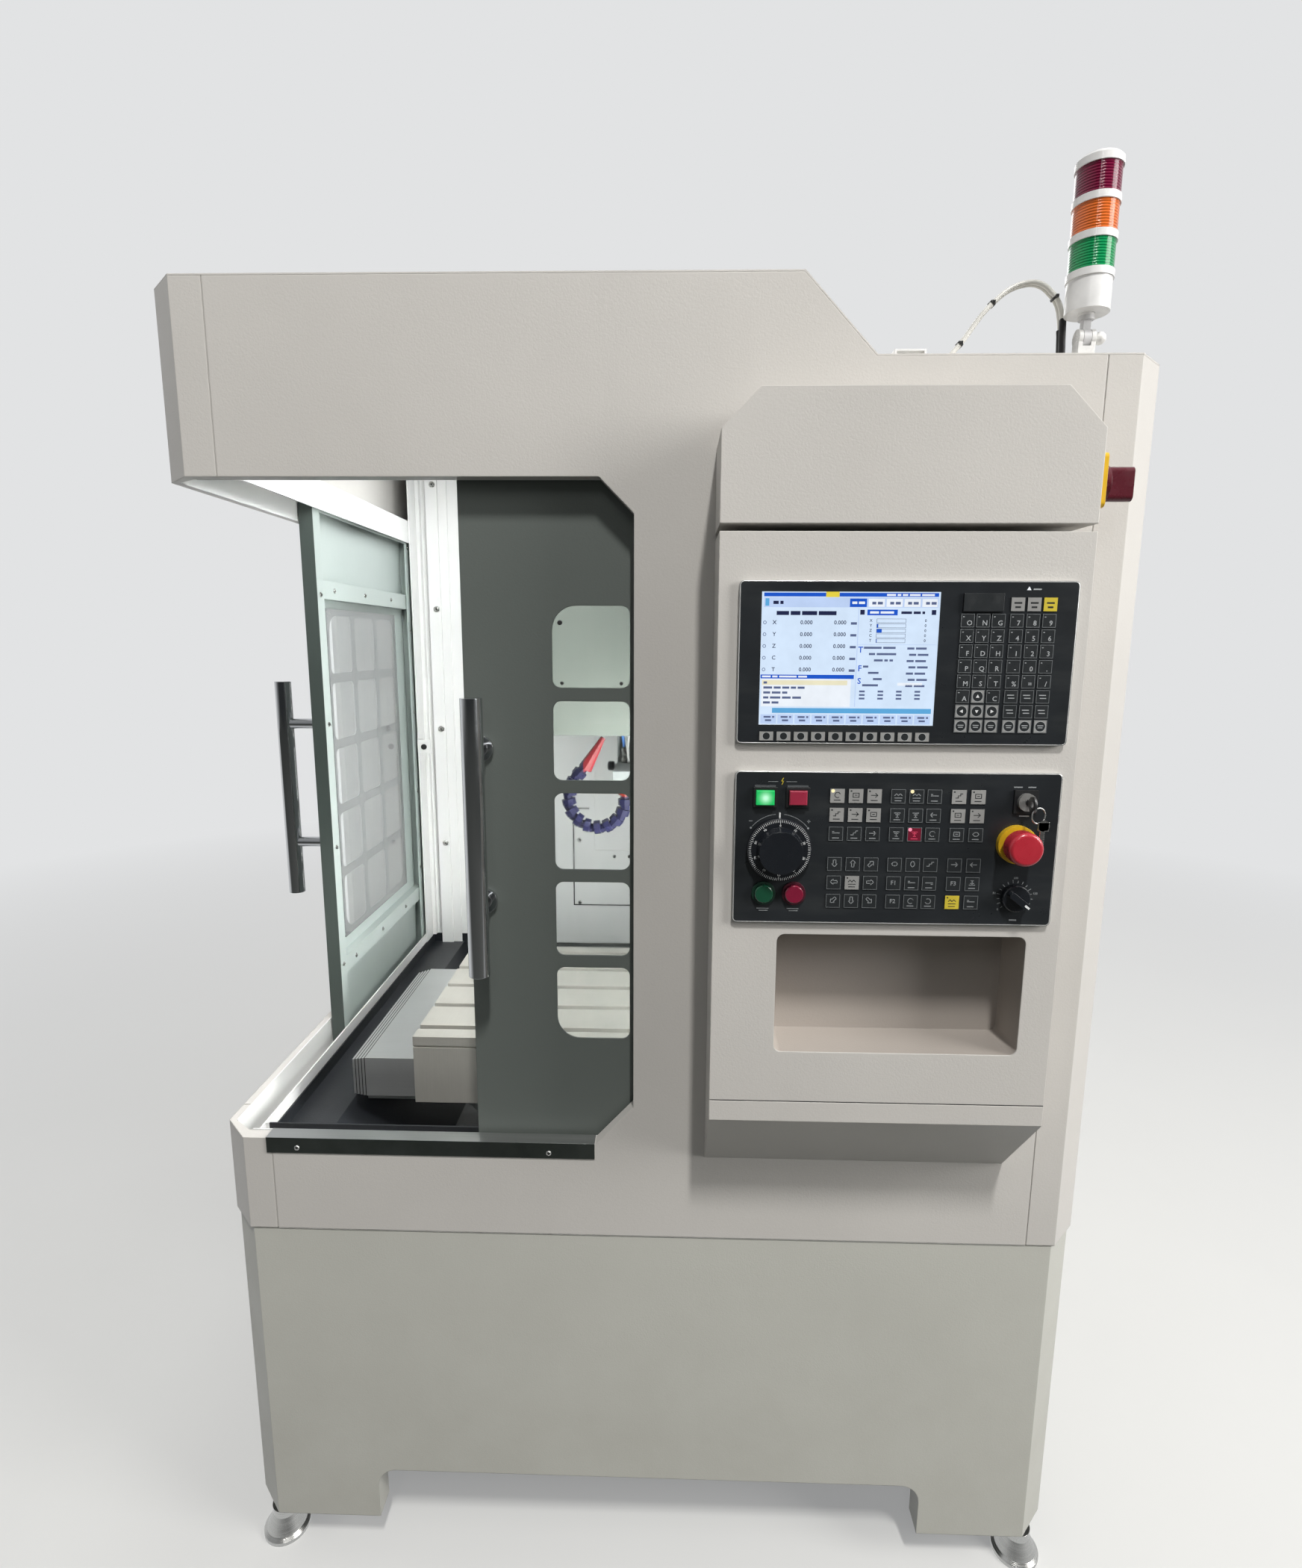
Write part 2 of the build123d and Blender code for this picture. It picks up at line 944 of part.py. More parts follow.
# Roof: high on the left, stepped down by a slope on the right
with BuildPart() as roof:
    with BuildSketch(front_plane(0)):
        folded(
            (-half_width, roof_high),
            (roof_slope_from, roof_high),
            (slope_end, roof_low),
            (half_width, roof_low),
            side=Side.RIGHT,
        )
    extrude(amount=-depth)
    with BuildSketch(floor_plane(low_wall_top)):
        for side in (-1, 1):
            outline(
                (side * half_width, 0),
                (side * (half_width - corner_cut), 0),
                (side * half_width, corner_cut),
            )
    extrude(amount=roof_high - low_wall_top, mode=Mode.SUBTRACT)
roof.part.label = "roof"

# Rear panel: closes the enclosure behind the column
rear_half = half_width - side_flange
rear_panel = sheet_pan(
    front_plane(depth),
    [
        (-rear_half, belt_z),
        (rear_half, belt_z),
        (rear_half, low_wall_top),
        (slope_end - slope_shift, low_wall_top),
        (roof_slope_from - slope_shift, wall_top),
        (-rear_half, wall_top),
    ],
    rear_flange,
)
rear_panel.label = "rear_panel"

# Door tracks: a folded channel below and above each door
with BuildPart() as door_tracks:
    with BuildSketch(side_plane(-tray_half)):
        folded(
            (front_flange, sill_z),
            (front_flange, bottom_track_z),
            (front_track_back, bottom_track_z),
            (front_track_back, track_inner_low),
            thick=track_skin,
        )
        folded(
            (front_flange, lintel_z),
            (front_flange, top_track_top),
            (front_track_back, top_track_top),
            (front_track_back, top_track_z),
            thick=track_skin,
            side=Side.RIGHT,
        )
    extrude(amount=tray_half + front_track_right)
    with BuildSketch(front_plane(side_track_front)):
        folded(
            (-rear_half, sill_z),
            (-rear_half, bottom_track_z),
            (-side_track_inner, bottom_track_z),
            (-side_track_inner, track_inner_low),
            thick=track_skin,
        )
        folded(
            (-rear_half, lintel_z),
            (-rear_half, top_track_top),
            (-side_track_inner, top_track_top),
            (-side_track_inner, top_track_z),
            thick=track_skin,
            side=Side.RIGHT,
        )
    extrude(amount=side_track_front - side_track_back)
door_tracks.part.label = "door_tracks"

# Sill trim: a bright angle over the edge of the sill
with BuildPart() as sill_trim:
    with BuildSketch(side_plane(trim_left)):
        outline(
            (-trim_thick, sill_z - trim_leg),
            (0, sill_z - trim_leg),
            (0, sill_z),
            (front_flange, sill_z),
            (front_flange, sill_z + trim_thick),
            (-trim_thick, sill_z + trim_thick),
        )
    extrude(amount=trim_right - trim_left)
sill_trim.part.label = "sill_trim"

# Electrical cabinet: a box open at the rear, with drive modules on its inner wall and hinge halves
with BuildPart() as electrical_cabinet:
    with BuildSketch(front_plane(depth)):
        block((-cabinet_half, cabinet_low), (cabinet_half, cabinet_high))
    extrude(amount=depth - cabinet_back)
    with BuildSketch(front_plane(depth + skin)):
        block(
            (-cabinet_half + skin, cabinet_low + skin),
            (cabinet_half - skin, cabinet_high - skin),
        )
    extrude(amount=depth - cabinet_back, mode=Mode.SUBTRACT)
    with BuildSketch(front_plane(depth + skin)):
        with Locations((0, drive_middle_z)):
            with GridLocations(drive_pitch, 0, drive_count, 1):
                RectangleRounded(drive_width, drive_height, motor_corner)
    extrude(amount=-drive_depth)
    for hinge_z in hinge_places:
        with BuildSketch(floor_plane(hinge_z)):
            with Locations((hinge_x, hinge_y)):
                Circle(hinge_radius)
            block((hinge_x, hinge_y - hinge_back - hinge_leaf), (-cabinet_half, hinge_y - hinge_back - 1))
        extrude(amount=hinge_length)
        with BuildSketch(floor_plane(hinge_z + hinge_length)):
            with Locations((hinge_x, hinge_y)):
                Circle(hinge_pin_radius)
        extrude(amount=hinge_length)
electrical_cabinet.part.label = "electrical_cabinet"

# Console box: a folded prism on the front panel, sloped below, with a window to a paper pocket
console_profile = [
    (0, console_heel_z),
    (console_face, console_lip_low),
    (console_face, console_top),
    (0, console_top),
]
pocket_middle = ((pocket_left + pocket_right) / 2, (pocket_low + pocket_high) / 2)
with BuildPart() as console_box:
    with BuildSketch(side_plane(console_left)):
        outline(*console_profile)
    extrude(amount=console_right - console_left)
    with BuildSketch(side_plane(console_left + skin)):
        outline(*console_profile)
        offset(amount=-skin, kind=Kind.INTERSECTION)
    extrude(amount=console_right - console_left - 2 * skin, mode=Mode.SUBTRACT)
    with BuildSketch(front_plane(console_face)):
        with Locations(pocket_middle):
            RectangleRounded(
                pocket_right - pocket_left + 2 * skin,
                pocket_high - pocket_low + 2 * skin,
                pocket_radius + skin,
            )
    extrude(amount=-pocket_depth - skin)
    with BuildSketch(front_plane(console_face)):
        with Locations(pocket_middle):
            RectangleRounded(pocket_right - pocket_left, pocket_high - pocket_low, pocket_radius)
    extrude(amount=-pocket_depth, mode=Mode.SUBTRACT)
    with BuildSketch(front_plane(console_face)):
        for middle_z in (display_middle_z, operator_middle_z):
            with Locations((panel_middle_x, middle_z)):
                Rectangle(
                    panel_width - 2 * panel_body_margin + 2 * cutout_gap,
                    panel_height - 2 * panel_body_margin + 2 * cutout_gap,
                )
    extrude(amount=-skin, mode=Mode.SUBTRACT)
    with BuildSketch(front_plane(console_face)):
        block((console_left, console_seam_z), (console_right, console_seam_z + seam_gap))
    extrude(amount=-console_seam_depth, mode=Mode.SUBTRACT)
console_box.part.label = "console_box"

# Console header: a box with cut upper corners above the console
console_header = sheet_pan(
    front_plane(console_face),
    [
        (console_left, header_low),
        (console_right, header_low),
        (console_right, header_high - header_cut),
        (console_right - header_cut, header_high),
        (console_left + header_cut, header_high),
        (console_left, header_high - header_cut),
    ],
    console_face,
)
console_header.label = "console_header"

# Display unit: a plate with a set-back screen, and its body inside the console
with BuildPart() as display_unit:
    with BuildSketch(front_plane(console_face)):
        with Locations((panel_middle_x, display_middle_z)):
            RectangleRounded(panel_width, panel_height, panel_radius)
    extrude(amount=panel_thick)
    with BuildSketch(front_plane(console_face)):
        with Locations((panel_middle_x, display_middle_z)):
            Rectangle(panel_width - 2 * panel_body_margin, panel_height - 2 * panel_body_margin)
    extrude(amount=-panel_body_depth)
    with BuildSketch(front_plane(panel_face)):
        block((screen_left, screen_low), (screen_left + screen_width, screen_low + screen_height))
    extrude(amount=-screen_recess, mode=Mode.SUBTRACT)
display_unit.part.label = "display_unit"

# Display keys: the keyboard block, the soft keys under the screen and the port cover
with BuildPart() as display_keys:
    with BuildSketch(front_plane(panel_face)):
        for row in range(display_key_rows):
            for x in display_key_x:
                with Locations((x, display_key_top - row * display_key_pitch)):
                    Rectangle(display_key, display_key)
        for x in display_key_x[3:]:
            with Locations((x, function_key_z)):
                Rectangle(display_key, display_key)
        for count in range(soft_key_count):
            with Locations((soft_key_first + count * soft_key_pitch, soft_key_z)):
                Rectangle(soft_key_size, soft_key_height)
    extrude(amount=cap_thick)
    with BuildSketch(front_plane(panel_face)):
        with Locations((usb_x, usb_z)):
            Rectangle(usb_width, usb_height)
    extrude(amount=usb_thick)
display_keys.part.label = "display_keys"

# Operator panel: a plate with bored places for its buttons and knobs
with BuildPart() as operator_panel:
    with BuildSketch(front_plane(console_face)):
        with Locations((panel_middle_x, operator_middle_z)):
            RectangleRounded(panel_width, panel_height, panel_radius)
    extrude(amount=panel_thick)
    with BuildSketch(front_plane(console_face)):
        with Locations((panel_middle_x, operator_middle_z)):
            Rectangle(panel_width - 2 * panel_body_margin, panel_height - 2 * panel_body_margin)
    extrude(amount=-panel_body_depth)
    with BuildSketch(front_plane(panel_face)):
        with Locations(start_place, stop_place):
            Circle(round_radius + push_clear)
        with Locations(power_on_place, power_off_place):
            Rectangle(square_width + 2 * push_clear, square_height + 2 * push_clear)
        with Locations(estop_place):
            Circle(estop_stem_radius + push_clear)
    extrude(amount=-button_bore_depth, mode=Mode.SUBTRACT)
    with BuildSketch(front_plane(panel_face)):
        with Locations(handwheel_place, override_place, key_place):
            Circle(knob_shaft_radius + shaft_clear)
    extrude(amount=-button_bore_depth, mode=Mode.SUBTRACT)
operator_panel.part.label = "operator_panel"

# Panel keys: six rows of eight square keys
with BuildPart() as panel_keys:
    with BuildSketch(front_plane(panel_face)):
        for z in operator_key_z:
            for x in operator_key_x:
                with Locations((x, z)):
                    Rectangle(operator_key, operator_key)
    extrude(amount=cap_thick)
panel_keys.part.label = "panel_keys"

# Switch collars: rings and bezels round the buttons, the lock barrel, and the main switch's plate
with BuildPart() as switch_collars:
    with BuildSketch(front_plane(panel_face)):
        with Locations(start_place, stop_place):
            Circle(round_collar_radius)
            Circle(round_radius + push_clear, mode=Mode.SUBTRACT)
    extrude(amount=collar_thick)
    with BuildSketch(front_plane(panel_face)):
        with Locations(power_on_place, power_off_place):
            Rectangle(square_collar_width, square_collar_height)
            Rectangle(square_width + 2 * push_clear, square_height + 2 * push_clear, mode=Mode.SUBTRACT)
    extrude(amount=collar_thick)
    with BuildSketch(front_plane(panel_face)):
        with Locations(estop_place):
            Circle(estop_ring_radius)
            Circle(estop_stem_radius + push_clear, mode=Mode.SUBTRACT)
    extrude(amount=estop_ring_thick)
    with BuildSketch(front_plane(panel_face)):
        with Locations(key_place):
            Rectangle(key_bezel, key_bezel)
            Circle(knob_shaft_radius + shaft_clear, mode=Mode.SUBTRACT)
    extrude(amount=collar_thick)
    with BuildSketch(front_plane(panel_face - collar_thick)):
        with Locations(key_place):
            Circle(key_barrel_radius)
            Circle(knob_shaft_radius + shaft_clear, mode=Mode.SUBTRACT)
    extrude(amount=key_barrel_height - collar_thick)
    with BuildSketch(side_plane(console_right)):
        with Locations((switch_y, switch_z)):
            RectangleRounded(switch_plate_size, switch_plate_size, panel_radius)
            Circle(knob_shaft_radius + shaft_clear, mode=Mode.SUBTRACT)
    extrude(amount=switch_plate_thick)
switch_collars.part.label = "switch_collars"

# Handwheel: a dial with a raised cap, on a shaft into the panel
with BuildPart() as handwheel:
    with BuildSketch(front_plane(panel_face - knob_gap)):
        with Locations(handwheel_place):
            Circle(handwheel_radius)
    extrude(amount=handwheel_disc)
    chamfer(handwheel.edges().filter_by(GeomType.CIRCLE).group_by(Axis.Y)[0], edge_break)
    with BuildSketch(front_plane(panel_face - knob_gap - handwheel_disc)):
        with Locations(handwheel_place):
            Circle(handwheel_cap_radius)
    extrude(amount=handwheel_cap, taper=handwheel_taper)
    with BuildSketch(front_plane(panel_face - knob_gap)):
        with Locations(handwheel_place):
            Circle(knob_shaft_radius)
    extrude(amount=-knob_shaft_depth)
handwheel.part.label = "handwheel"

# Emergency stop: a mushroom cap on a stem
with BuildPart() as estop_button:
    with BuildSketch(front_plane(reach_front + estop_cap_length)):
        with Locations(estop_place):
            Circle(estop_cap_radius)
    extrude(amount=estop_cap_length)
    fillet(estop_button.edges().filter_by(GeomType.CIRCLE).group_by(Axis.Y)[0], estop_round)
    with BuildSketch(front_plane(reach_front + estop_cap_length)):
        with Locations(estop_place):
            Circle(estop_stem_radius)
    extrude(amount=-estop_stem)
estop_button.part.label = "estop_button"

# Override knob: a skirt with a gripping bar across it
with BuildPart() as override_knob:
    with BuildSketch(front_plane(panel_face - knob_gap)):
        with Locations(override_place):
            Circle(override_radius)
    extrude(amount=override_skirt)
    chamfer(override_knob.edges().filter_by(GeomType.CIRCLE).group_by(Axis.Y)[0], edge_break)
    with BuildSketch(front_plane(panel_face - knob_gap - override_skirt)):
        with Locations(override_place):
            SlotOverall(2 * override_radius - grip_set_back, override_grip, rotation=-override_angle)
    extrude(amount=override_height - override_skirt)
    with BuildSketch(front_plane(panel_face - knob_gap)):
        with Locations(override_place):
            Circle(knob_shaft_radius)
    extrude(amount=-knob_shaft_depth)
override_knob.part.label = "override_knob"

# Switch key: a flat bow on a short blade, turning in the lock barrel
with BuildPart() as switch_key:
    with BuildSketch(front_plane(panel_face + knob_shaft_depth)):
        with Locations(key_place):
            Circle(knob_shaft_radius)
    extrude(amount=knob_shaft_depth + key_barrel_height + key_gap)
    with BuildSketch(side_plane(key_place[0] - key_thick / 2)):
        block(
            (panel_face - key_barrel_height - key_gap - key_reach, key_place[1] - key_width / 2),
            (panel_face - key_barrel_height - key_gap, key_place[1] + key_width / 2),
        )
        with Locations((panel_face - key_barrel_height - key_reach, key_place[1])):
            Circle(key_bow_radius)
            Circle(key_bow_hole, mode=Mode.SUBTRACT)
    extrude(amount=key_thick)
switch_key.part.label = "switch_key"


def round_button(place):
    """A turned push button that slides in its collar."""
    with BuildPart() as button:
        with BuildSketch(front_plane(panel_face - collar_thick - round_proud)):
            with Locations(place):
                Circle(round_radius)
        extrude(amount=-button_length)
        chamfer(button.edges().filter_by(GeomType.CIRCLE).group_by(Axis.Y)[0], edge_break)
    return button.part


def square_button(place):
    """A rectangular lit push button that slides in its bezel."""
    with BuildPart() as button:
        with BuildSketch(front_plane(panel_face - collar_thick - square_proud)):
            with Locations(place):
                Rectangle(square_width, square_height)
        extrude(amount=-button_length)
        chamfer(button.faces().sort_by(Axis.Y)[0].edges(), edge_break)
    return button.part


start_button = round_button(start_place)
start_button.label = "start_button"
stop_button = round_button(stop_place)
stop_button.label = "stop_button"
power_on_button = square_button(power_on_place)
power_on_button.label = "power_on_button"
power_off_button = square_button(power_off_place)
power_off_button.label = "power_off_button"

# Main switch: a disc with a gripping bar, turning on the side of the header
switch_face = console_right + switch_plate_thick
with BuildPart() as switch_knob:
    with BuildSketch(side_plane(switch_face + knob_gap)):
        with Locations((switch_y, switch_z)):
            Circle(switch_disc_radius)
    extrude(amount=switch_disc_thick)
    with BuildSketch(side_plane(switch_face + knob_gap + switch_disc_thick)):
        with Locations((switch_y, switch_z)):
            SlotOverall(2 * switch_disc_radius - grip_set_back, switch_grip_width, rotation=90)
    extrude(amount=switch_grip_reach)
    with BuildSketch(side_plane(switch_face + knob_gap)):
        with Locations((switch_y, switch_z)):
            Circle(knob_shaft_radius)
    extrude(amount=-switch_shaft_depth)
switch_knob.part.label = "switch_knob"

# Tower bracket: a disc and a forked post on the roof, with the fold's pin and its ball screw
with BuildPart() as tower_bracket:
    with BuildSketch(floor_plane(roof_low)):
        with Locations((tower_x, tower_y)):
            Circle(bracket_disc_radius)
    extrude(amount=bracket_disc_thick)
    with BuildSketch(floor_plane(roof_low + bracket_disc_thick)):
        with Locations((tower_x, tower_y)):
            Circle(bracket_post_radius)
    extrude(amount=knuckle_z - knuckle_radius - roof_low - bracket_disc_thick)
    with BuildSketch(side_plane(tower_x - knuckle_length / 2)):
        with Locations((tower_y, knuckle_z)):
            Circle(knuckle_radius)
        block(
            (tower_y - bracket_post_radius, knuckle_z - knuckle_radius - knuckle_foot),
            (tower_y + bracket_post_radius, knuckle_z),
        )
    extrude(amount=knuckle_length)
    with BuildSketch(side_plane(tower_x - tongue_half - knuckle_gap)):
        block(
            (tower_y - 2 * knuckle_radius, knuckle_z - knuckle_radius - knuckle_gap),
            (tower_y + 2 * knuckle_radius, knuckle_z + 2 * knuckle_radius),
        )
    extrude(amount=2 * (tongue_half + knuckle_gap), mode=Mode.SUBTRACT)
    with BuildSketch(side_plane(tower_x - knuckle_length / 2)):
        with Locations((tower_y, knuckle_z)):
            Circle(knuckle_pin_radius)
    extrude(amount=knuckle_length + knuckle_screw)
    with BuildSketch(upright(tower_x + knuckle_length / 2 + knuckle_screw, tower_y)):
        with BuildLine():
            ThreePointArc(
                (0, knuckle_z - knuckle_ball),
                (knuckle_ball, knuckle_z),
                (0, knuckle_z + knuckle_ball),
            )
            Line((0, knuckle_z + knuckle_ball), (0, knuckle_z - knuckle_ball))
        make_face()
    revolve(axis=Axis((datum_x + ball_x, datum_y + tower_y, 0), (0, 0, 1)))
tower_bracket.part.label = "tower_bracket"

# Tower housing: a folding pole, a white body and the rings and cap between the lenses
ring_low = tower_base_top + tower_lens
second_ring_low = ring_low + tower_ring + tower_lens
cap_low = second_ring_low + tower_ring + tower_lens
tower_top = cap_low + tower_cap
tower_axis = Axis((datum_x + tower_x, datum_y + tower_y, 0), (0, 0, 1))
with BuildPart() as tower_housing:
    with BuildSketch(upright(tower_x, tower_y)):
        outline(
            (0, knuckle_z + knuckle_pin_radius + tower_wall),
            (tongue_half, knuckle_z + knuckle_pin_radius + tower_wall),
            (tongue_half, tower_collar_low),
            (tower_collar_radius, tower_collar_low),
            (tower_collar_radius, tower_bottom),
            (tower_radius, tower_bottom),
            (tower_radius, tower_base_top - tower_ring),
            (tower_ring_radius, tower_base_top - tower_ring),
            (tower_ring_radius, tower_base_top),
            (0, tower_base_top),
        )
        for low in (ring_low, second_ring_low):
            block((0, low), (tower_ring_radius, low + tower_ring))
        outline(
            (0, cap_low),
            (tower_ring_radius, cap_low),
            (tower_ring_radius, tower_top - tower_round),
            (tower_ring_radius - tower_round, tower_top),
            (0, tower_top),
        )
    revolve(axis=tower_axis)
    with BuildSketch(side_plane(tower_x - tongue_half)):
        with Locations((tower_y, knuckle_z)):
            Circle(knuckle_radius)
        block(
            (tower_y - tongue_half, knuckle_z),
            (tower_y + tongue_half, tower_collar_low),
        )
    extrude(amount=2 * tongue_half)
    with BuildSketch(side_plane(tower_x - tongue_half)):
        with Locations((tower_y, knuckle_z)):
            Circle(knuckle_pin_radius + shaft_clear)
    extrude(amount=2 * tongue_half, mode=Mode.SUBTRACT)
tower_housing.part.label = "tower_housing"

# Tower lenses: three clear drums between the rings
with BuildPart() as tower_lenses:
    for low in (tower_base_top, ring_low + tower_ring, second_ring_low + tower_ring):
        with BuildSketch(floor_plane(low)):
            with Locations((tower_x, tower_y)):
                Circle(tower_radius)
        extrude(amount=tower_lens)
tower_lenses.part.label = "tower_lenses"

# Roof cables: two white leads side by side, out of the roof in a loop and back into it
route_runs = [math.dist(a, b) for a, b in zip(cable_route, cable_route[1:])]
route_turns = [
    abs(Vector(b[0] - a[0], b[1] - a[1]).get_angle(Vector(c[0] - b[0], c[1] - b[1])))
    for a, b, c in zip(cable_route, cable_route[1:], cable_route[2:])
]
cable_radii = [
    arc_share * min(before, after) / math.tan(math.radians(turn / 2))
    for before, after, turn in zip(route_runs, route_runs[1:], route_turns)
]
print("roof cable radii:", [round(radius) for radius in cable_radii])
with BuildPart() as roof_cables:
    for shift in (-1, 1):
        lead_y = cable_y + shift * (cable_radius + cable_gap / 2)
        with BuildLine(front_plane(lead_y)) as route:
            FilletPolyline(*cable_route, radius=cable_radii)
        with BuildSketch(floor_plane(roof_low)):
            with Locations((cable_route[0][0], lead_y)):
                Circle(cable_radius)
        sweep(path=route.wires()[0])
roof_cables.part.label = "roof_cables"
lead_section = math.pi * cable_radius**2
lead_ratio = roof_cables.part.volume / (2 * lead_section * route.wires()[0].length)
print("roof cable volume over section times length:", round(lead_ratio, 3))

# Saddle: a wide casting on four carriages, with a cover plate behind it
with BuildPart() as saddle:
    with BuildSketch(front_plane(saddle_front)):
        outline(*both_sides([
            (saddle_core_half, saddle_low),
            (saddle_core_half, saddle_wing_z - saddle_shoulder),
            (saddle_core_half + saddle_shoulder, saddle_wing_z),
            (saddle_half, saddle_wing_z),
            (saddle_half, saddle_top),
        ]))
    extrude(amount=saddle_front - saddle_back)
    with BuildSketch(front_plane((saddle_front + saddle_back - y_block_pitch - y_block_length) / 2)):
        for x in (-y_rail_x, y_rail_x):
            block((x - block_width / 2, way_top + block_drop), (x + block_width / 2, saddle_low))
            block(
                (x - rail_slot / 2, way_top),
                (x + rail_slot / 2, way_top + rail_size + rail_clear),
                mode=Mode.SUBTRACT,
            )
    extrude(amount=-y_block_length)
    with BuildSketch(front_plane((saddle_front + saddle_back + y_block_pitch - y_block_length) / 2)):
        for x in (-y_rail_x, y_rail_x):
            block((x - block_width / 2, way_top + block_drop), (x + block_width / 2, saddle_low))
            block(
                (x - rail_slot / 2, way_top),
                (x + rail_slot / 2, way_top + rail_size + rail_clear),
                mode=Mode.SUBTRACT,
            )
    extrude(amount=-y_block_length)
    with BuildSketch(front_plane(saddle_back)):
        folded(
            (-rear_cover_half, rear_cover_low),
            (-rear_cover_half, rear_cover_top),
            (rear_cover_half, rear_cover_top),
            (rear_cover_half, rear_cover_low),
            side=Side.RIGHT,
        )
    extrude(amount=saddle_back - rear_cover_back)
saddle.part.label = "saddle"

# X rails: two rails along the saddle
with BuildPart() as x_rails:
    with BuildSketch(side_plane(-x_rail_half)):
        for y in (x_rail_front, x_rail_back):
            block((y - rail_size / 2, saddle_top), (y + rail_size / 2, saddle_top + rail_size))
    extrude(amount=2 * x_rail_half)
x_rails.part.label = "x_rails"

# X motor: a flange and a square motor on the end of the saddle
with BuildPart() as x_motor:
    with BuildSketch(side_plane(saddle_half)):
        with Locations((x_motor_y, x_motor_z)):
            RectangleRounded(x_motor_size, x_motor_size, panel_radius)
    extrude(amount=x_motor_flange)
    with BuildSketch(side_plane(saddle_half + x_motor_flange)):
        with Locations((x_motor_y, x_motor_z)):
            RectangleRounded(x_motor_size - motor_corner, x_motor_size - motor_corner, motor_corner)
    extrude(amount=x_motor_length - x_motor_flange)
x_motor.part.label = "x_motor"

# Way covers: a nest of stepped plates on each end of the saddle, its legs inside the table's aprons
cover_top = table_top - table_thick - cover_gap
cover_front = table_front + apron_thick + cover_side_gap
cover_back = table_back - apron_thick - cover_side_gap
with BuildPart() as way_covers:
    for side, cover_end in ((-1, cover_left_end), (1, cover_right_end)):
        for plate in range(cover_plates):
            inset = plate * cover_sheet
            reach = cover_end - cover_inner - (cover_plates - 1 - plate) * cover_step
            with BuildSketch(side_plane(side * cover_inner)):
                folded(
                    (cover_front + inset, apron_low),
                    (cover_front + inset, cover_top - inset),
                    (cover_back - inset, cover_top - inset),
                    (cover_back - inset, apron_low),
                    thick=cover_sheet,
                    side=Side.RIGHT,
                )
            extrude(amount=side * reach)
        with BuildSketch(side_plane(side * x_rail_half)):
            block((saddle_front, saddle_top), (saddle_back, cover_top - cover_plates * cover_sheet))
        extrude(amount=side * cover_bracket)
way_covers.part.label = "way_covers"

# Table: a plate with five T-slots, aprons front and back, and carriages for the X rails
with BuildPart() as table:
    with BuildSketch(side_plane(table_left)):
        block((table_front, table_top - table_thick), (table_back, table_top))
        block((table_front, apron_low), (table_front + apron_thick, table_top))
        block((table_back - apron_thick, apron_low), (table_back, table_top))
        for slot in range(slot_count):
            slot_y = table_front + slot_first + slot * slot_pitch
            block(
                (slot_y - slot_neck / 2, table_top - slot_neck_depth),
                (slot_y + slot_neck / 2, table_top),
                mode=Mode.SUBTRACT,
            )
            block(
                (slot_y - slot_wide / 2, table_top - slot_neck_depth - slot_wide_depth),
                (slot_y + slot_wide / 2, table_top - slot_neck_depth),
                mode=Mode.SUBTRACT,
            )
        block(
            (table_front, table_top - apron_line - slot_line),
            (table_front + slot_line, table_top - apron_line),
            mode=Mode.SUBTRACT,
        )
    extrude(amount=table_length)
    for middle in (table_x - x_block_offset, table_x + x_block_offset):
        with BuildSketch(side_plane(middle - x_block_length / 2)):
            for y in (x_rail_front, x_rail_back):
                block(
                    (y - block_width / 2, saddle_top + block_drop),
                    (y + block_width / 2, table_top - table_thick),
                )
                block(
                    (y - rail_slot / 2, saddle_top),
                    (y + rail_slot / 2, saddle_top + rail_size + rail_clear),
                    mode=Mode.SUBTRACT,
                )
        extrude(amount=x_block_length)
table.part.label = "table"

# Headstock: a wedge-shaped casting with a nose, a snout for the spindle, and a back plate on carriages
with BuildPart() as headstock:
    with BuildSketch(floor_plane(head_low)):
        outline(
            (-nose_half, head_front),
            (nose_half, head_front),
            (nose_half, head_shoulder[0]),
            (head_half, head_shoulder[1]),
            (head_half, plate_front),
            (-head_half, plate_front),
            (-head_half, head_shoulder[1]),
            (-nose_half, head_shoulder[0]),
        )
    extrude(amount=head_high - head_low)
    with BuildSketch(floor_plane(nose_low)):
        block((-nose_half, head_front), (nose_half, nose_back))
    extrude(amount=head_low - nose_low)
    with BuildSketch(floor_plane(snout_low)):
        with Locations((0, spindle_y)):
            Circle(snout_radius)
    extrude(amount=nose_low - snout_low)
    with BuildSketch(front_plane(plate_front)):
        block((-plate_half, plate_low), (plate_half, plate_high))
    extrude(amount=-plate_thick)
    for low in (z_block_low, z_block_high):
        with BuildSketch(floor_plane(low)):
            for x in (-z_rail_x, z_rail_x):
                block((x - block_width / 2, plate_back), (x + block_width / 2, column_front - block_drop))
                block(
                    (x - rail_slot / 2, column_front - rail_size - rail_clear),
                    (x + rail_slot / 2, column_front),
                    mode=Mode.SUBTRACT,
                )
        extrude(amount=z_block_length)
    with BuildSketch(floor_plane(snout_low)):
        with Locations((0, spindle_y)):
            Circle(spindle_radius + spindle_clear)
    extrude(amount=head_high - snout_low, mode=Mode.SUBTRACT)
    with BuildSketch(floor_plane(nose_low)):
        block((-nose_half, hose_y - manifold_width / 2), (-nose_half + manifold_width, head_front))
    extrude(amount=manifold_height)
headstock.part.label = "headstock"

# Head apron: a sheet under the back plate that keeps the lining's slot closed
with BuildPart() as head_apron:
    with BuildSketch(front_plane(plate_front)):
        block((-apron_half, head_apron_low), (apron_half, plate_low + apron_lap))
    extrude(amount=skin)
head_apron.part.label = "head_apron"

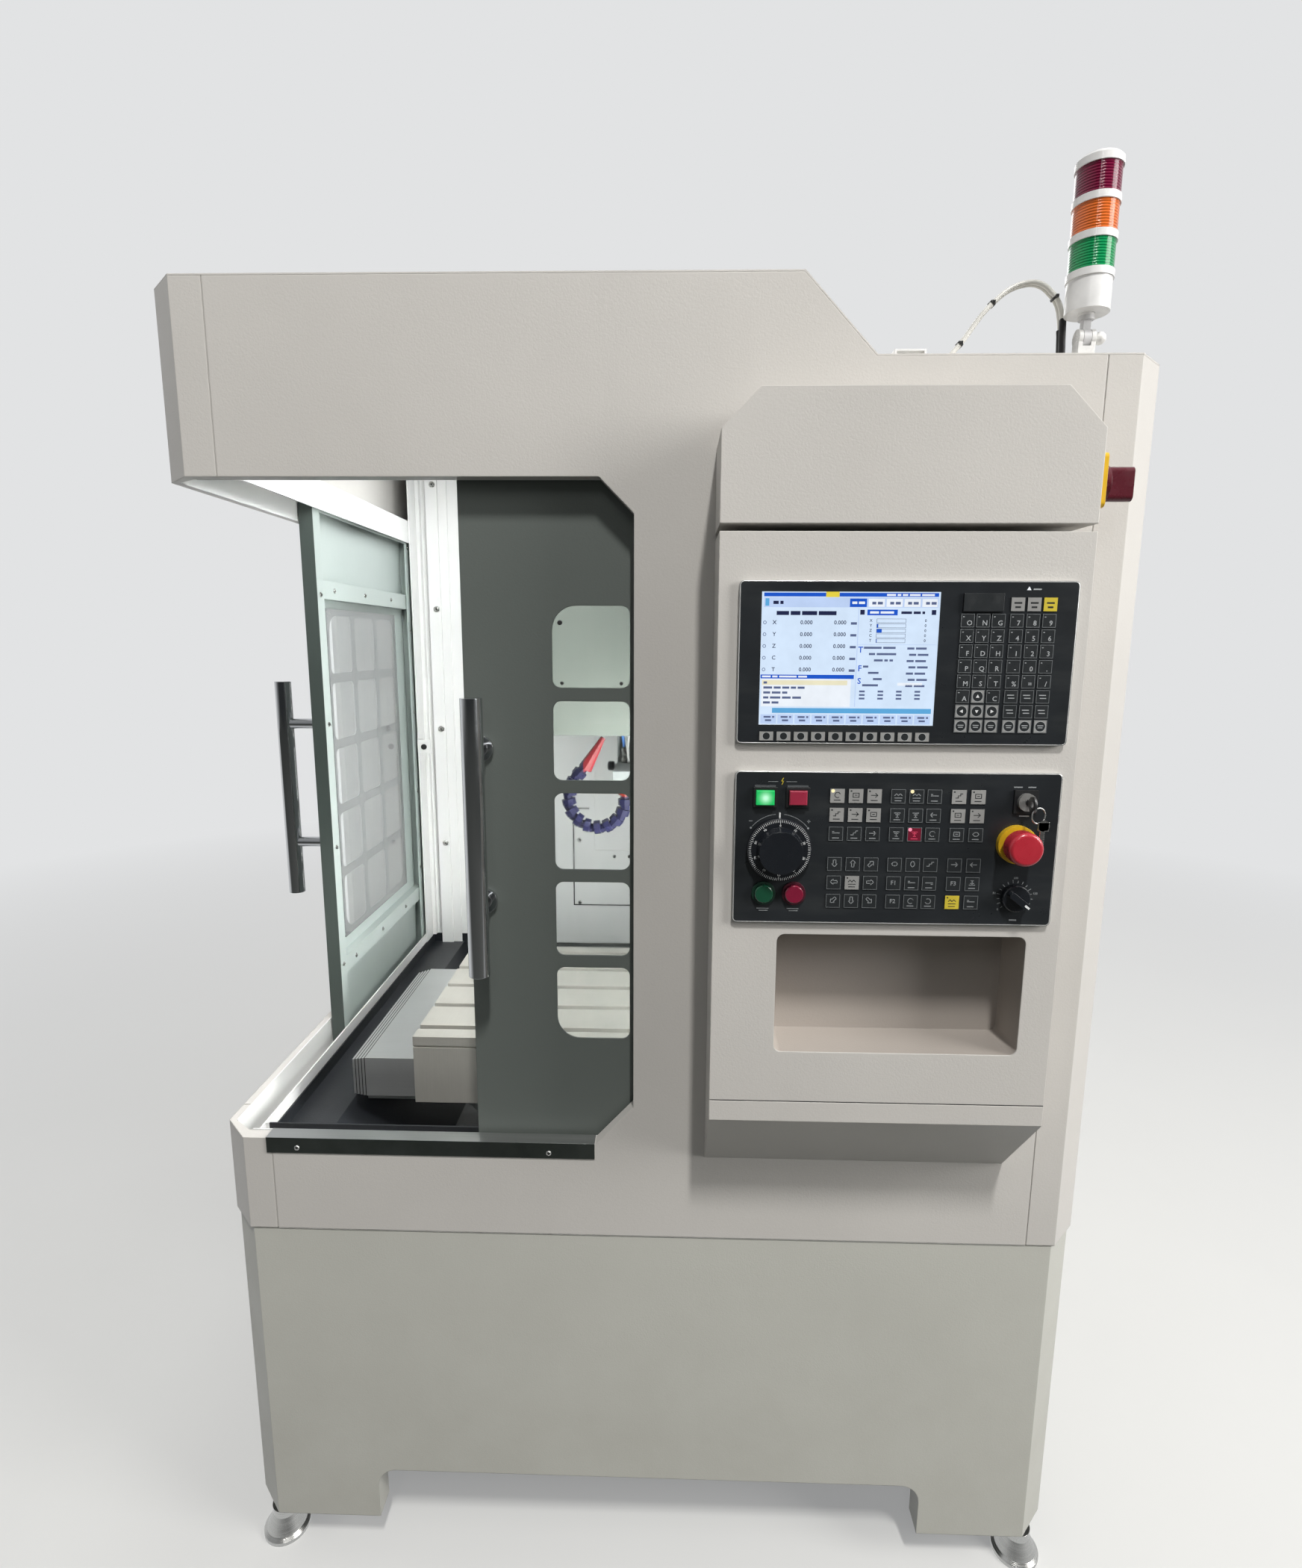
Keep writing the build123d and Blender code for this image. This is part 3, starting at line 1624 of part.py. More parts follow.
# Spindle motor: a square motor with a cap on top of the headstock
with BuildPart() as spindle_motor:
    with BuildSketch(floor_plane(head_high)):
        with Locations((0, spindle_y)):
            RectangleRounded(spindle_motor_size, spindle_motor_size, motor_corner)
    extrude(amount=spindle_motor_height - motor_cap)
    with BuildSketch(floor_plane(head_high + spindle_motor_height - motor_cap)):
        with Locations((0, spindle_y)):
            Circle(spindle_motor_size / 2 - motor_corner)
    extrude(amount=motor_cap)
spindle_motor.part.label = "spindle_motor"

# Coolant hose: eight-sided beads along an arc, and a tapered nozzle
hose_loop_left = hose_start[0] - 2 * hose_loop_radius
with BuildLine(front_plane(hose_y)) as hose_route:
    Line(hose_start, (hose_start[0], hose_loop_z))
    ThreePointArc(
        (hose_start[0], hose_loop_z),
        (hose_start[0] - hose_loop_radius, hose_loop_z - hose_loop_radius),
        (hose_loop_left, hose_loop_z),
    )
    ThreePointArc((hose_loop_left, hose_loop_z), hose_rise, hose_nozzle)
hose_path = hose_route.wires()[0]
bead_length = hose_path.length / hose_beads
with BuildPart() as coolant_hose:
    for bead in range(hose_beads):
        along = bead / hose_beads
        bead_plane = Plane(hose_path.position_at(along), z_dir=hose_path.tangent_at(along))
        with BuildSketch(bead_plane):
            RegularPolygon(bead_big, 8)
        extrude(amount=bead_length * bead_share)
        with BuildSketch(bead_plane):
            RegularPolygon(bead_small, 8)
        extrude(amount=bead_length * bead_overlap)
    nozzle_start = hose_path.position_at(1)
    nozzle_end = front_plane(hose_y).from_local_coords(Vector(hose_tip[0], hose_tip[1]))
    nozzle_plane = Plane(nozzle_start, z_dir=nozzle_end - nozzle_start)
    with BuildSketch(nozzle_plane):
        RegularPolygon(bead_big, 8)
    with BuildSketch(nozzle_plane.offset((nozzle_end - nozzle_start).length)):
        RegularPolygon(nozzle_tip, 8)
    loft()
coolant_hose.part.label = "coolant_hose"

# Spindle: a turned shaft with a nose, a taper bore and the drawbar's hole
spindle_low = snout_low - nose_gap - spindle_nose_length
with BuildPart() as spindle:
    with BuildSketch(upright(0, spindle_y)):
        outline(
            (taper_radius, spindle_low),
            (spindle_nose_radius, spindle_low),
            (spindle_nose_radius, spindle_low + spindle_nose_length),
            (spindle_radius, spindle_low + spindle_nose_length),
            (spindle_radius, head_high - nose_gap),
            (0, head_high - nose_gap),
            (0, spindle_low + drawbar_depth),
            (drawbar_radius, spindle_low + drawbar_depth),
            (drawbar_radius, spindle_low + taper_depth),
            (taper_small_radius, spindle_low + taper_depth),
        )
    revolve(axis=Axis((datum_x, datum_y + spindle_y, 0), (0, 0, 1)))
spindle.part.label = "spindle"

# Magazine turret: a hub and a disc with sixteen notched grippers
with BuildPart() as magazine_turret:
    with BuildSketch(front_plane(turret_front)):
        with Locations((0, magazine_z)):
            Circle(turret_hub_radius)
    extrude(amount=turret_front - turret_back)
    with BuildSketch(front_plane(turret_front + turret_disc)):
        with Locations((0, magazine_z)):
            Circle(turret_radius)
    extrude(amount=-turret_disc)
    with BuildSketch(front_plane(turret_front + turret_disc)):
        with Locations((0, magazine_z)):
            with PolarLocations((gripper_from + gripper_reach) / 2, gripper_count):
                Rectangle(gripper_reach - gripper_from, gripper_width)
            with PolarLocations(gripper_reach - gripper_slot_depth / 2, gripper_count):
                Rectangle(gripper_slot_depth, gripper_slot, mode=Mode.SUBTRACT)
    extrude(amount=-gripper_depth)
    with BuildSketch(front_plane(turret_front)):
        with Locations((0, magazine_z)):
            Circle(shaft_radius + shaft_clear)
    extrude(amount=turret_front - turret_back, mode=Mode.SUBTRACT)
magazine_turret.part.label = "magazine_turret"


def door_pan(plane, left, length, pane_from, turn):
    """A door: a folded pan with inward lips, two cross bars and a grille of rounded windows."""
    middle = left + pane_from + grille_width / 2
    with BuildPart() as door:
        with BuildSketch(plane):
            block((left, door_bottom), (left + length, door_top))
        extrude(amount=turn * door_depth)
        with BuildSketch(plane.offset(turn * skin)):
            block((left + skin, door_bottom + skin), (left + length - skin, door_top - skin))
        extrude(amount=turn * (door_depth - 2 * skin), mode=Mode.SUBTRACT)
        with BuildSketch(plane.offset(turn * (door_depth - skin))):
            block(
                (left + door_lip, door_bottom + door_lip),
                (left + length - door_lip, door_top - door_lip),
            )
        extrude(amount=turn * skin, mode=Mode.SUBTRACT)
        with BuildSketch(plane.offset(turn * skin)):
            for bar_z in bar_lows:
                block((left + skin, bar_z), (left + length - skin, bar_z + bar_height))
        extrude(amount=turn * bar_depth)
        with BuildSketch(plane):
            with Locations((middle, pane_middle_z)):
                with GridLocations(pane_pitch_x, pane_pitch_z, pane_columns, pane_rows):
                    RectangleRounded(pane_width, pane_height, pane_radius)
                RectangleRounded(grille_width, grille_height, grille_radius, mode=Mode.INTERSECT)
        extrude(amount=turn * skin, mode=Mode.SUBTRACT)
    return door.part


def window_sheet(plane, left, turn):
    """The clear sheet behind a door's grille."""
    with BuildPart() as window:
        with BuildSketch(plane.offset(turn * skin)):
            block(
                (left - glass_margin, pane_low - glass_margin),
                (left + grille_width + glass_margin, pane_low + grille_height + glass_margin),
            )
        extrude(amount=turn * glass)
    return window.part


def tube_handle(x, y, tube, post_plane, post_across, post_heights, turn, reach):
    """A capped upright tube on two posts, each post on a round base."""
    with BuildPart() as handle:
        with BuildSketch(post_plane):
            for post_z in post_heights:
                with Locations((post_across, post_z)):
                    Circle(post_radius)
        extrude(amount=turn * reach)
        with BuildSketch(post_plane):
            for post_z in post_heights:
                with Locations((post_across, post_z)):
                    Circle(post_base_radius)
        extrude(amount=turn * post_base)
        with BuildSketch(floor_plane(tube[0])):
            with Locations((x, y)):
                Circle(tube_radius)
        extrude(amount=tube[1] - tube[0])
        with BuildSketch(floor_plane(tube[0] + tube_cap)):
            with Locations((x, y)):
                Circle(tube_radius - tube_wall)
        extrude(amount=tube[1] - tube[0] - 2 * tube_cap, mode=Mode.SUBTRACT)
    return handle.part


# Front door: slides across behind the front panel
front_door_plane = front_plane(front_door_face)
front_door = door_pan(front_door_plane, front_door_left, front_door_width, front_pane_from, -1)
front_door.label = "front_door"
front_door_window = window_sheet(front_door_plane, front_door_left + front_pane_from, -1)
front_door_window.label = "front_door_window"
front_door_handle = tube_handle(
    front_door_left + front_handle_inset,
    front_door_face - front_handle_reach,
    front_tube,
    front_door_plane,
    front_door_left + front_handle_inset,
    front_posts,
    1,
    front_handle_reach,
)
front_door_handle.label = "front_door_handle"

# Side door: slides back along the left side
side_door_plane = side_plane(-side_door_face)
side_door = door_pan(side_door_plane, side_door_front, side_door_length, side_pane_from, 1)
side_door.label = "side_door"
side_door_window = window_sheet(side_door_plane, side_door_front + side_pane_from, 1)
side_door_window.label = "side_door_window"
side_door_handle = tube_handle(
    side_handle_x,
    side_door_front + side_handle_inset,
    side_tube,
    side_door_plane,
    side_door_front + side_handle_inset,
    side_posts,
    -1,
    side_handle_reach,
)
side_door_handle.label = "side_door_handle"

# Cabinet door: a folded lid with its halves of the hinges and a hole for the latch
with BuildPart() as cabinet_door:
    with BuildSketch(front_plane(cabinet_door_face)):
        block((-cabinet_half, cabinet_low), (cabinet_half, cabinet_high))
    extrude(amount=cabinet_door_depth)
    with BuildSketch(front_plane(cabinet_door_face - skin)):
        block(
            (-cabinet_half + skin, cabinet_low + skin),
            (cabinet_half - skin, cabinet_high - skin),
        )
    extrude(amount=cabinet_door_depth, mode=Mode.SUBTRACT)
    with BuildSketch(front_plane(cabinet_door_face)):
        with Locations((latch_x, latch_z)):
            Circle(latch_shaft_radius + shaft_clear)
    extrude(amount=skin, mode=Mode.SUBTRACT)
    for hinge_z in hinge_places:
        with BuildSketch(floor_plane(hinge_z + hinge_length + hinge_slack)):
            with Locations((hinge_x, hinge_y)):
                Circle(hinge_radius)
            block((hinge_x, hinge_y + hinge_back), (-cabinet_half, hinge_y + hinge_back + hinge_leaf))
            with Locations((hinge_x, hinge_y)):
                Circle(hinge_pin_radius + hinge_clear, mode=Mode.SUBTRACT)
        extrude(amount=hinge_length)
cabinet_door.part.label = "cabinet_door"

# Cabinet latch: a turning handle on a short shaft
with BuildPart() as cabinet_latch:
    with BuildSketch(front_plane(cabinet_door_face + latch_thick)):
        with Locations((latch_x, latch_z)):
            Circle(latch_radius)
    extrude(amount=latch_thick - knob_gap)
    with BuildSketch(front_plane(reach_back)):
        with Locations((latch_x, latch_z - latch_arm / 2 + latch_arm_width / 2)):
            SlotOverall(latch_arm, latch_arm_width, rotation=90)
    extrude(amount=latch_arm_thick)
    with BuildSketch(front_plane(cabinet_door_face + knob_gap)):
        with Locations((latch_x, latch_z)):
            Circle(latch_shaft_radius)
    extrude(amount=latch_shaft)
cabinet_latch.part.label = "cabinet_latch"

for piece in (
    base_casting.part,
    levelling_feet.part,
    linear_rails.part,
    column.part,
    axis_motors.part,
    magazine_frame.part,
    magazine_cover.part,
    chip_tray.part,
    coolant_tank.part,
    work_light.part,
    liner.part,
    base_skirt.part,
    front_panel,
    corner_columns.part,
    left_side_panel,
    right_side_panel,
    roof.part,
    rear_panel,
    door_tracks.part,
    sill_trim.part,
    electrical_cabinet.part,
    console_box.part,
    console_header,
    display_unit.part,
    display_keys.part,
    operator_panel.part,
    panel_keys.part,
    switch_collars.part,
    tower_bracket.part,
    roof_cables.part,
    saddle.part,
    x_rails.part,
    x_motor.part,
    way_covers.part,
    table.part,
    headstock.part,
    head_apron.part,
    spindle_motor.part,
    coolant_hose.part,
    spindle.part,
    magazine_turret.part,
    front_door,
    front_door_window,
    front_door_handle,
    side_door,
    side_door_window,
    side_door_handle,
    cabinet_door.part,
    cabinet_latch.part,
    handwheel.part,
    estop_button.part,
    override_knob.part,
    switch_key.part,
    start_button,
    stop_button,
    power_on_button,
    power_off_button,
    switch_knob.part,
    tower_housing.part,
    tower_lenses.part,
):
    export_step(piece, f"parts/{piece.label}.step")
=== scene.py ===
import functools
import math

import bmesh
import bpy
from mathutils import Matrix, Vector


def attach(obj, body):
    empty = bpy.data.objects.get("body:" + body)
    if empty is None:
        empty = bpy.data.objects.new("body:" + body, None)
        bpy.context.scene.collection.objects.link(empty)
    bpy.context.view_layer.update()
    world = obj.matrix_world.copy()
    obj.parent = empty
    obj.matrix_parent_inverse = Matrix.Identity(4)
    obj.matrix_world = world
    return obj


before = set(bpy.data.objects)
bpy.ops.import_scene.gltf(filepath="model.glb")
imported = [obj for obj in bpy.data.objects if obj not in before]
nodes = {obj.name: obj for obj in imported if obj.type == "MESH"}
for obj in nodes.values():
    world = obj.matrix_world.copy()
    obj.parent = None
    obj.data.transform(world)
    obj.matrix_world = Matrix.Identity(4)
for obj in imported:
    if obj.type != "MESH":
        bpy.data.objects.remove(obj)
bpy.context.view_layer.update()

# The machine's own datum in the record frame, in millimetres
DATUM_X, DATUM_Y = 37.5, -864
TURN = 2 * math.pi


def mm(value):
    return value / 1000


def at(x, y, z):
    """Machine millimetres, from the front panel's middle at the floor, to the frame's metres."""
    return Vector((mm(x + DATUM_X), mm(y + DATUM_Y), mm(z)))


def polar(x, z, radius, angle):
    return x + radius * math.cos(angle), z + radius * math.sin(angle)


def paint(red, green, blue):
    """A colour as the eye reads it, 0 to 255, to linear light."""
    linear = []
    for value in (red, green, blue):
        part = value / 255
        linear.append(part / 12.92 if part <= 0.04045 else ((part + 0.055) / 1.055) ** 2.4)
    return (*linear, 1.0)


def shade(colour, factor):
    return tuple(min(1.0, part * factor) for part in colour[:3]) + (1.0,)


class Graph:
    """The nodes of a material or of the world."""

    def __init__(self, owner):
        owner.use_nodes = True
        self.tree = owner.node_tree
        self.tree.nodes.clear()
        self.place = self.add("TexCoord").outputs

    def add(self, kind, feeds=None, **settings):
        """A new node: feeds are its inputs, each a value or another node's output."""
        node = self.tree.nodes.new("ShaderNode" + kind)
        for key, value in settings.items():
            setattr(node, key, value)
        for key, value in (feeds or {}).items():
            self.feed(node.inputs[key], value)
        return node

    def feed(self, socket, value):
        if isinstance(value, bpy.types.NodeSocket):
            self.tree.links.new(value, socket)
        else:
            socket.default_value = value

    def stretch(self, scale):
        return self.add("Mapping", {"Vector": self.place["Object"], "Scale": scale}).outputs[0]

    def noise(self, scale, detail=2.0, rough=0.5, place=None):
        place = place or self.place["Object"]
        feeds = {"Vector": place, "Scale": scale, "Detail": detail, "Roughness": rough}
        return self.add("TexNoise", feeds).outputs["Fac"]

    def cells(self, scale):
        return self.add("TexVoronoi", {"Vector": self.place["Object"], "Scale": scale}).outputs["Distance"]

    def span(self, value, low, high, out_low=0.0, out_high=1.0):
        feeds = {"Value": value, "From Min": low, "From Max": high, "To Min": out_low, "To Max": out_high}
        return self.add("MapRange", feeds).outputs[0]

    def sum(self, kind, first, second=0.5):
        return self.add("Math", {0: first, 1: second}, operation=kind).outputs[0]

    def mix(self, amount, first, second, blend="MIX"):
        return self.add("MixRGB", {0: amount, 1: first, 2: second}, blend_type=blend).outputs[0]

    def blend(self, amount, first, second):
        return self.add("MixShader", {0: amount, 1: first, 2: second}).outputs[0]

    def vary(self, noise, colour, dark, pale, top=0.7):
        """A colour that drifts between a darker and a paler tone."""
        return self.mix(self.span(noise, 0.3, top), shade(colour, dark), shade(colour, pale))

    def away(self, first, second):
        """The distance from the zero of two axes."""
        squares = self.sum("ADD", self.sum("MULTIPLY", first, first), self.sum("MULTIPLY", second, second))
        return self.sum("SQRT", squares)

    def axes(self, kind="Object"):
        return self.add("SeparateXYZ", {0: self.place[kind]}).outputs

    def within(self, limits):
        """One inside the stated box of object coordinates, nought outside."""
        axis = dict(zip("xyz", self.axes()))
        inside = None
        for letter, low, high in limits:
            above = self.sum("GREATER_THAN", axis[letter], low)
            both = self.sum("MULTIPLY", above, self.sum("LESS_THAN", axis[letter], high))
            inside = both if inside is None else self.sum("MULTIPLY", inside, both)
        return inside

    def soft_edge(self, radius):
        return self.add("Bevel", {"Radius": radius}, samples=4).outputs[0]

    def bump(self, height, strength, distance, under=None):
        feeds = {"Height": height, "Strength": strength, "Distance": distance}
        if under is not None:
            feeds["Normal"] = under
        return self.add("Bump", feeds).outputs[0]


class Finish(Graph):
    """A material with one principled shader."""

    def __init__(self, name):
        self.material = bpy.data.materials.new(name)
        super().__init__(self.material)
        self.out = self.add("OutputMaterial")
        self.shader = self.add("BsdfPrincipled")
        self.feed(self.out.inputs[0], self.shader.outputs[0])

    def set(self, **values):
        for key, value in values.items():
            self.feed(self.shader.inputs[key.replace("_", " ")], value)
        return self.material


def powder_coat(name, colour, edge=0.0016, rough=0.42, dust=0.0, peel=0.16, inside=None):
    """Baked powder coat: a fine orange peel, faint clouding and a soft light on the folded edges."""
    g, colour = Finish(name), paint(*colour)
    cloud = g.noise(2.6, 4.0, 0.55)
    smear = g.noise(1.0, 4.0, 0.6, g.stretch((9.0, 9.0, 1.6)))
    tone = g.vary(cloud, colour, 0.955, 1.03)
    tone = g.mix(g.span(smear, 0.56, 0.8, 0.0, 0.10), tone, shade(colour, 0.72))
    speck = g.cells(310)
    tone = g.mix(g.span(speck, 0.0, 0.09, 0.16, 0.0), tone, shade(colour, 0.55))
    if dust:
        low = g.span(g.axes()[2], 0.05, 0.75, dust, 0.0)
        dusty = g.sum("MULTIPLY", low, g.span(g.noise(7, 5, 0.6), 0.25, 0.8))
        tone = g.mix(dusty, tone, paint(138, 132, 118))
    # A zone in a second colour: painted shade in the console pocket and in the recess under the sill, and the
    # side door's darker front lip
    if inside:
        limits, other = inside[0], paint(*inside[1])
        depth = g.noise(3.4, 2, 0.5)
        within = g.within(limits)
        tone = g.mix(within, tone, g.vary(depth, other, 0.88, 1.12))
    orange = g.noise(430, 2.0, 0.5)
    grit = g.noise(1500, 1.0, 0.5)
    height = g.sum("ADD", orange, g.sum("MULTIPLY", grit, 0.35))
    return g.set(
        Base_Color=tone,
        Roughness=g.span(g.noise(5, 4, 0.6), 0.3, 0.75, rough - 0.06, rough + 0.08),
        Specular_IOR_Level=0.42,
        Normal=g.bump(height, peel, 0.0012, g.soft_edge(edge)),
    )


def plastic(name, colour, rough=0.4, grain=0.10, scale=1400, coat=0.0, edge=0.0006):
    """Moulded plastic with a fine sparked grain, finger marks and a softened edge."""
    g, colour = Finish(name), paint(*colour)
    tone = g.vary(g.noise(22, 4, 0.6), colour, 0.90, 1.10, 0.75)
    marks = g.span(g.noise(46, 5, 0.65), 0.45, 0.8)
    return g.set(
        Base_Color=tone,
        Roughness=g.span(marks, 0, 1, rough - 0.07, rough + 0.12),
        Coat_Weight=coat,
        Coat_Roughness=0.12,
        Normal=g.bump(g.noise(scale, 2, 0.5), grain, 0.0004, g.soft_edge(edge) if edge else None),
    )


def metal(name, colour, rough, lines, depth, stain=0.25, contrast=0.14, share=1.0, anisotropy=0.0):
    """Worked metal: fine lines along its length, stain patches and uneven gloss."""
    g, colour = Finish(name), paint(*colour)
    streak = g.noise(1.0, 3.0, 0.6, g.stretch(lines))
    patch = g.noise(9, 5, 0.6)
    tone = g.vary(streak, colour, 1 - contrast, 1 + contrast * 0.6)
    tone = g.mix(g.span(patch, 0.45, 0.85, 0.0, stain), tone, shade(colour, 0.5))
    return g.set(
        Base_Color=tone,
        Metallic=share,
        Roughness=g.span(g.sum("ADD", streak, patch), 0.6, 1.4, rough - 0.08, rough + 0.12),
        Anisotropic=anisotropy,
        Normal=g.bump(streak, depth, 0.0004, g.soft_edge(0.0008)),
    )


def glow(name, colour, strength):
    """A lit lens or screen field, a little uneven."""
    g, colour = Finish(name), paint(*colour)
    return g.set(
        Base_Color=shade(colour, 0.12),
        Roughness=0.3,
        Specular_IOR_Level=0.3,
        Emission_Color=g.vary(g.noise(60, 2), colour, 0.95, 1.03),
        Emission_Strength=strength,
    )


def zoned(name, rough, tests, first, coat):
    """One moulding in several colours, each kept to a stated zone of the part."""
    g = Finish(name)
    tone = paint(*first)
    for limits, colour in tests:
        tone = g.mix(g.within(limits), tone, paint(*colour))
    worn = g.span(g.noise(30, 5, 0.6), 0.35, 0.8, 0.0, 0.18)
    tone = g.mix(worn, tone, shade(paint(60, 58, 55), 0.8))
    return g.set(
        Base_Color=tone,
        Roughness=g.span(g.noise(45, 4, 0.6), 0.3, 0.75, rough - 0.05, rough + 0.1),
        Coat_Weight=coat,
        Coat_Roughness=0.1,
        Normal=g.bump(g.noise(1300, 2, 0.5), 0.08, 0.0003, g.soft_edge(0.0006)),
    )


# Zones in machine millimetres, turned into the frame's metres
def zone(x=(-900, 900), y=(-400, 2200), z=(0, 2400)):
    return (
        ("x", mm(x[0] + DATUM_X), mm(x[1] + DATUM_X)),
        ("y", mm(y[0] + DATUM_Y), mm(y[1] + DATUM_Y)),
        ("z", mm(z[0]), mm(z[1])),
    )


def print_ink(name, colour):
    return plastic(name, colour, 0.45, 0.05, 1500)


# Finishes
white = powder_coat("enclosure_coat", (200, 197, 192))
# Painted shade: the inside of the console pocket is painted a darker grey, standing in for the shade in the
# recess
pocket_shade = (zone(x=(160, 492), y=(-105.5, -30), z=(966, 1141)), (164, 157, 150))
console_white = powder_coat("console_coat", (200, 197, 192), inside=pocket_shade)
skirt = powder_coat("skirt_coat", (194, 194, 186), dust=0.25)
inner_white = powder_coat("liner_coat", (222, 222, 220), rough=0.36, peel=0.10)
# Painted highlight: a paler copy of the enclosure white, for the lit fold along the skirt's top
belt_highlight_paint = powder_coat("belt_highlight_coat", (232, 231, 227), rough=0.36)
door_paint = powder_coat("door_coat", (98, 104, 100), edge=0.0012, rough=0.45, peel=0.12)
# Painted light: the side door is painted much paler than the front door's paint, standing in for the
# lamplight inside the machine; its front lip zone keeps a darker tone
side_front = (zone(x=(-650, -612), y=(390, 396.2)), (74, 82, 78))
side_paint_painted_light = powder_coat("side_door_coat_painted_light", (164, 173, 169), edge=0.0012, peel=0.12, inside=side_front)
tray_paint = powder_coat("chip_tray_coat", (36, 38, 41), rough=0.36, peel=0.2)
# Painted shade: a band of the door tracks below the sill top is painted near black, standing in for the shade
# in the recess there
track_recess_shade = (zone(x=(-606, 620), y=(58, 70), z=(600, 760)), (40, 42, 45))
track_paint = powder_coat("track_coat", (222, 222, 220), rough=0.36, peel=0.10, inside=track_recess_shade)
casting = powder_coat("casting_paint", (150, 154, 152), rough=0.5, peel=0.5, dust=0.15)
ground_iron = metal("ground_iron", (190, 188, 180), 0.46, (900, 12, 12), 0.06, 0.22, 0.05, 0.55)
# Painted shade: the magazine cover is painted a darker grey-green than its pale own colour, standing in for
# the dim light where it sits
cover_paint_shaded = powder_coat("magazine_coat_shaded", (122, 127, 120), rough=0.40, peel=0.12)
steel = metal("bright_steel", (205, 205, 202), 0.26, (8, 8, 700), 0.08)
dark_steel = metal("dark_steel", (92, 92, 92), 0.38, (600, 600, 600), 0.05)
cover_steel = metal("cover_steel", (196, 198, 197), 0.34, (5, 420, 420), 0.03, 0.12, 0.04, 0.75)
chrome = metal("chrome_tube", (206, 208, 210), 0.09, (30, 30, 4), 0.02, 0.12, 0.05, anisotropy=0.2)
motor = plastic("motor_black", (46, 46, 48), 0.45, 0.3, 900)
rubber = plastic("rubber_black", (30, 30, 31), 0.6, 0.25, 900)
knob_dark = plastic("knob_black", (25, 28, 33), 0.28, 0.03, 1500, coat=0.15)
key_steel = metal("key_steel", (128, 128, 128), 0.3, (300, 300, 300), 0.04, 0.3)
key_dark = plastic("key_face", (40, 43, 45), 0.38, 0.12, 1600)
grey_field = plastic("key_field_grey", (150, 150, 148), 0.42, 0.08, 1500)
yellow_field = plastic("key_field_yellow", (206, 186, 60), 0.42, 0.08, 1500)
line_pale = print_ink("print_pale", (168, 172, 174))
line_grey = print_ink("print_grey", (146, 150, 152))
rim_steel = metal("rim_steel", (214, 215, 213), 0.32, (40, 40, 40), 0.03, 0.2, 0.05, 0.5)
line_white = print_ink("print_white", (222, 224, 224))
# Painted shade for the floors of screw sockets, also the colour of the small dark domes on the front door
dark_socket_shade_and_domes = print_ink("socket_shade_dark", (44, 44, 44))
maroon = plastic("isolator_maroon", (86, 24, 36), 0.34, 0.06, 1300, coat=0.2)
red_plastic = plastic("mushroom_red", (176, 40, 54), 0.32, 0.06, 1300, coat=0.35)
dark_red = plastic("stop_red", (130, 24, 54), 0.28, 0.05, 1300, coat=0.4)
dark_green = plastic("start_green", (20, 72, 50), 0.28, 0.05, 1300, coat=0.4)
white_plastic = plastic("white_plastic", (226, 226, 224), 0.34, 0.08, 1200)
cable_white = plastic("cable_white", (218, 217, 211), 0.42, 0.06, 900, edge=0)
tie_black = plastic("tie_black", (24, 24, 25), 0.45, 0.1, 900)
amber_glow = glow("led_amber", (255, 238, 186), 1.0)
red_glow = glow("led_red", (255, 150, 176), 1.0)
power_red = plastic("power_red", (158, 44, 68), 0.34, 0.05, 1300, coat=0.25)
line_dim = print_ink("print_dim", (112, 116, 118))
lit_red = glow("key_lit_red", (116, 28, 48), 0.8)
lit_pink = glow("key_lit_pink", (206, 70, 96), 0.9)


def lamp_face(name, centre, reach, edge, core):
    """A lit push button: bright at its lamp, deeper towards the rim."""
    g = Finish(name)
    x, y, z = g.axes()
    away = g.away(g.sum("SUBTRACT", x, mm(centre[0] + DATUM_X)), g.sum("SUBTRACT", z, mm(centre[1])))
    ribs = g.sum("SINE", g.sum("MULTIPLY", z, TURN / 0.0016), 0)
    fall = g.span(g.sum("ADD", away, g.sum("MULTIPLY", ribs, 0.0002)), 0.0015, mm(reach), 1.0, 0.0)
    return g.set(
        Base_Color=shade(edge, 0.5),
        Roughness=0.25,
        Coat_Weight=0.3,
        Coat_Roughness=0.08,
        Emission_Color=g.mix(g.sum("MULTIPLY", fall, fall), edge, core),
        Emission_Strength=0.95,
    )


green_glow = lamp_face("lamp_green", (146.4, 1314.5), 12, paint(22, 168, 84), paint(206, 255, 226))
white_glow = glow("led_white", (238, 242, 246), 0.95)
lamp_glow = glow("lamp_strip", (244, 248, 250), 0.98)


def clear_pane(name, clear=1.0, rough=0.015, smears=0.075):
    """Clear sheet with wiped smears, or one rubbed to a milky haze."""
    g = Finish(name)
    smear = g.noise(14, 5, 0.6)
    streaks = g.noise(1.0, 4, 0.6, g.stretch((30, 30, 5)))
    haze = g.mix(g.span(streaks, 0.35, 0.75), (0.90, 0.93, 0.92, 1.0), (0.96, 0.975, 0.965, 1.0))
    return g.set(
        Base_Color=haze,
        Roughness=g.span(smear, 0.4, 0.85, rough, rough + smears),
        Transmission_Weight=clear,
        IOR=1.45,
    )


def lens_plastic():
    """Clear ribbed drums in three colours, moulded with stacked rings."""
    g = Finish("tower_lens")
    z = g.axes()[2]
    amber = g.sum("GREATER_THAN", z, 2.0215)
    red = g.sum("GREATER_THAN", z, 2.0655)
    tone = g.mix(amber, paint(8, 150, 86), paint(228, 112, 42))
    tone = g.mix(red, tone, paint(118, 8, 54))
    height = g.sum("SINE", g.sum("MULTIPLY", z, TURN / 0.0034), 0)
    tone = g.mix(g.span(height, -1.0, 1.0, 0.0, 0.30), tone, (0.60, 0.60, 0.60, 1.0), "MULTIPLY")
    return g.set(
        Base_Color=tone,
        Roughness=0.16,
        Transmission_Weight=0.12,
        IOR=1.45,
        Specular_IOR_Level=0.3,
        Coat_Weight=0.35,
        Coat_Roughness=0.04,
        Normal=g.bump(height, 0.6, 0.0006),
    )


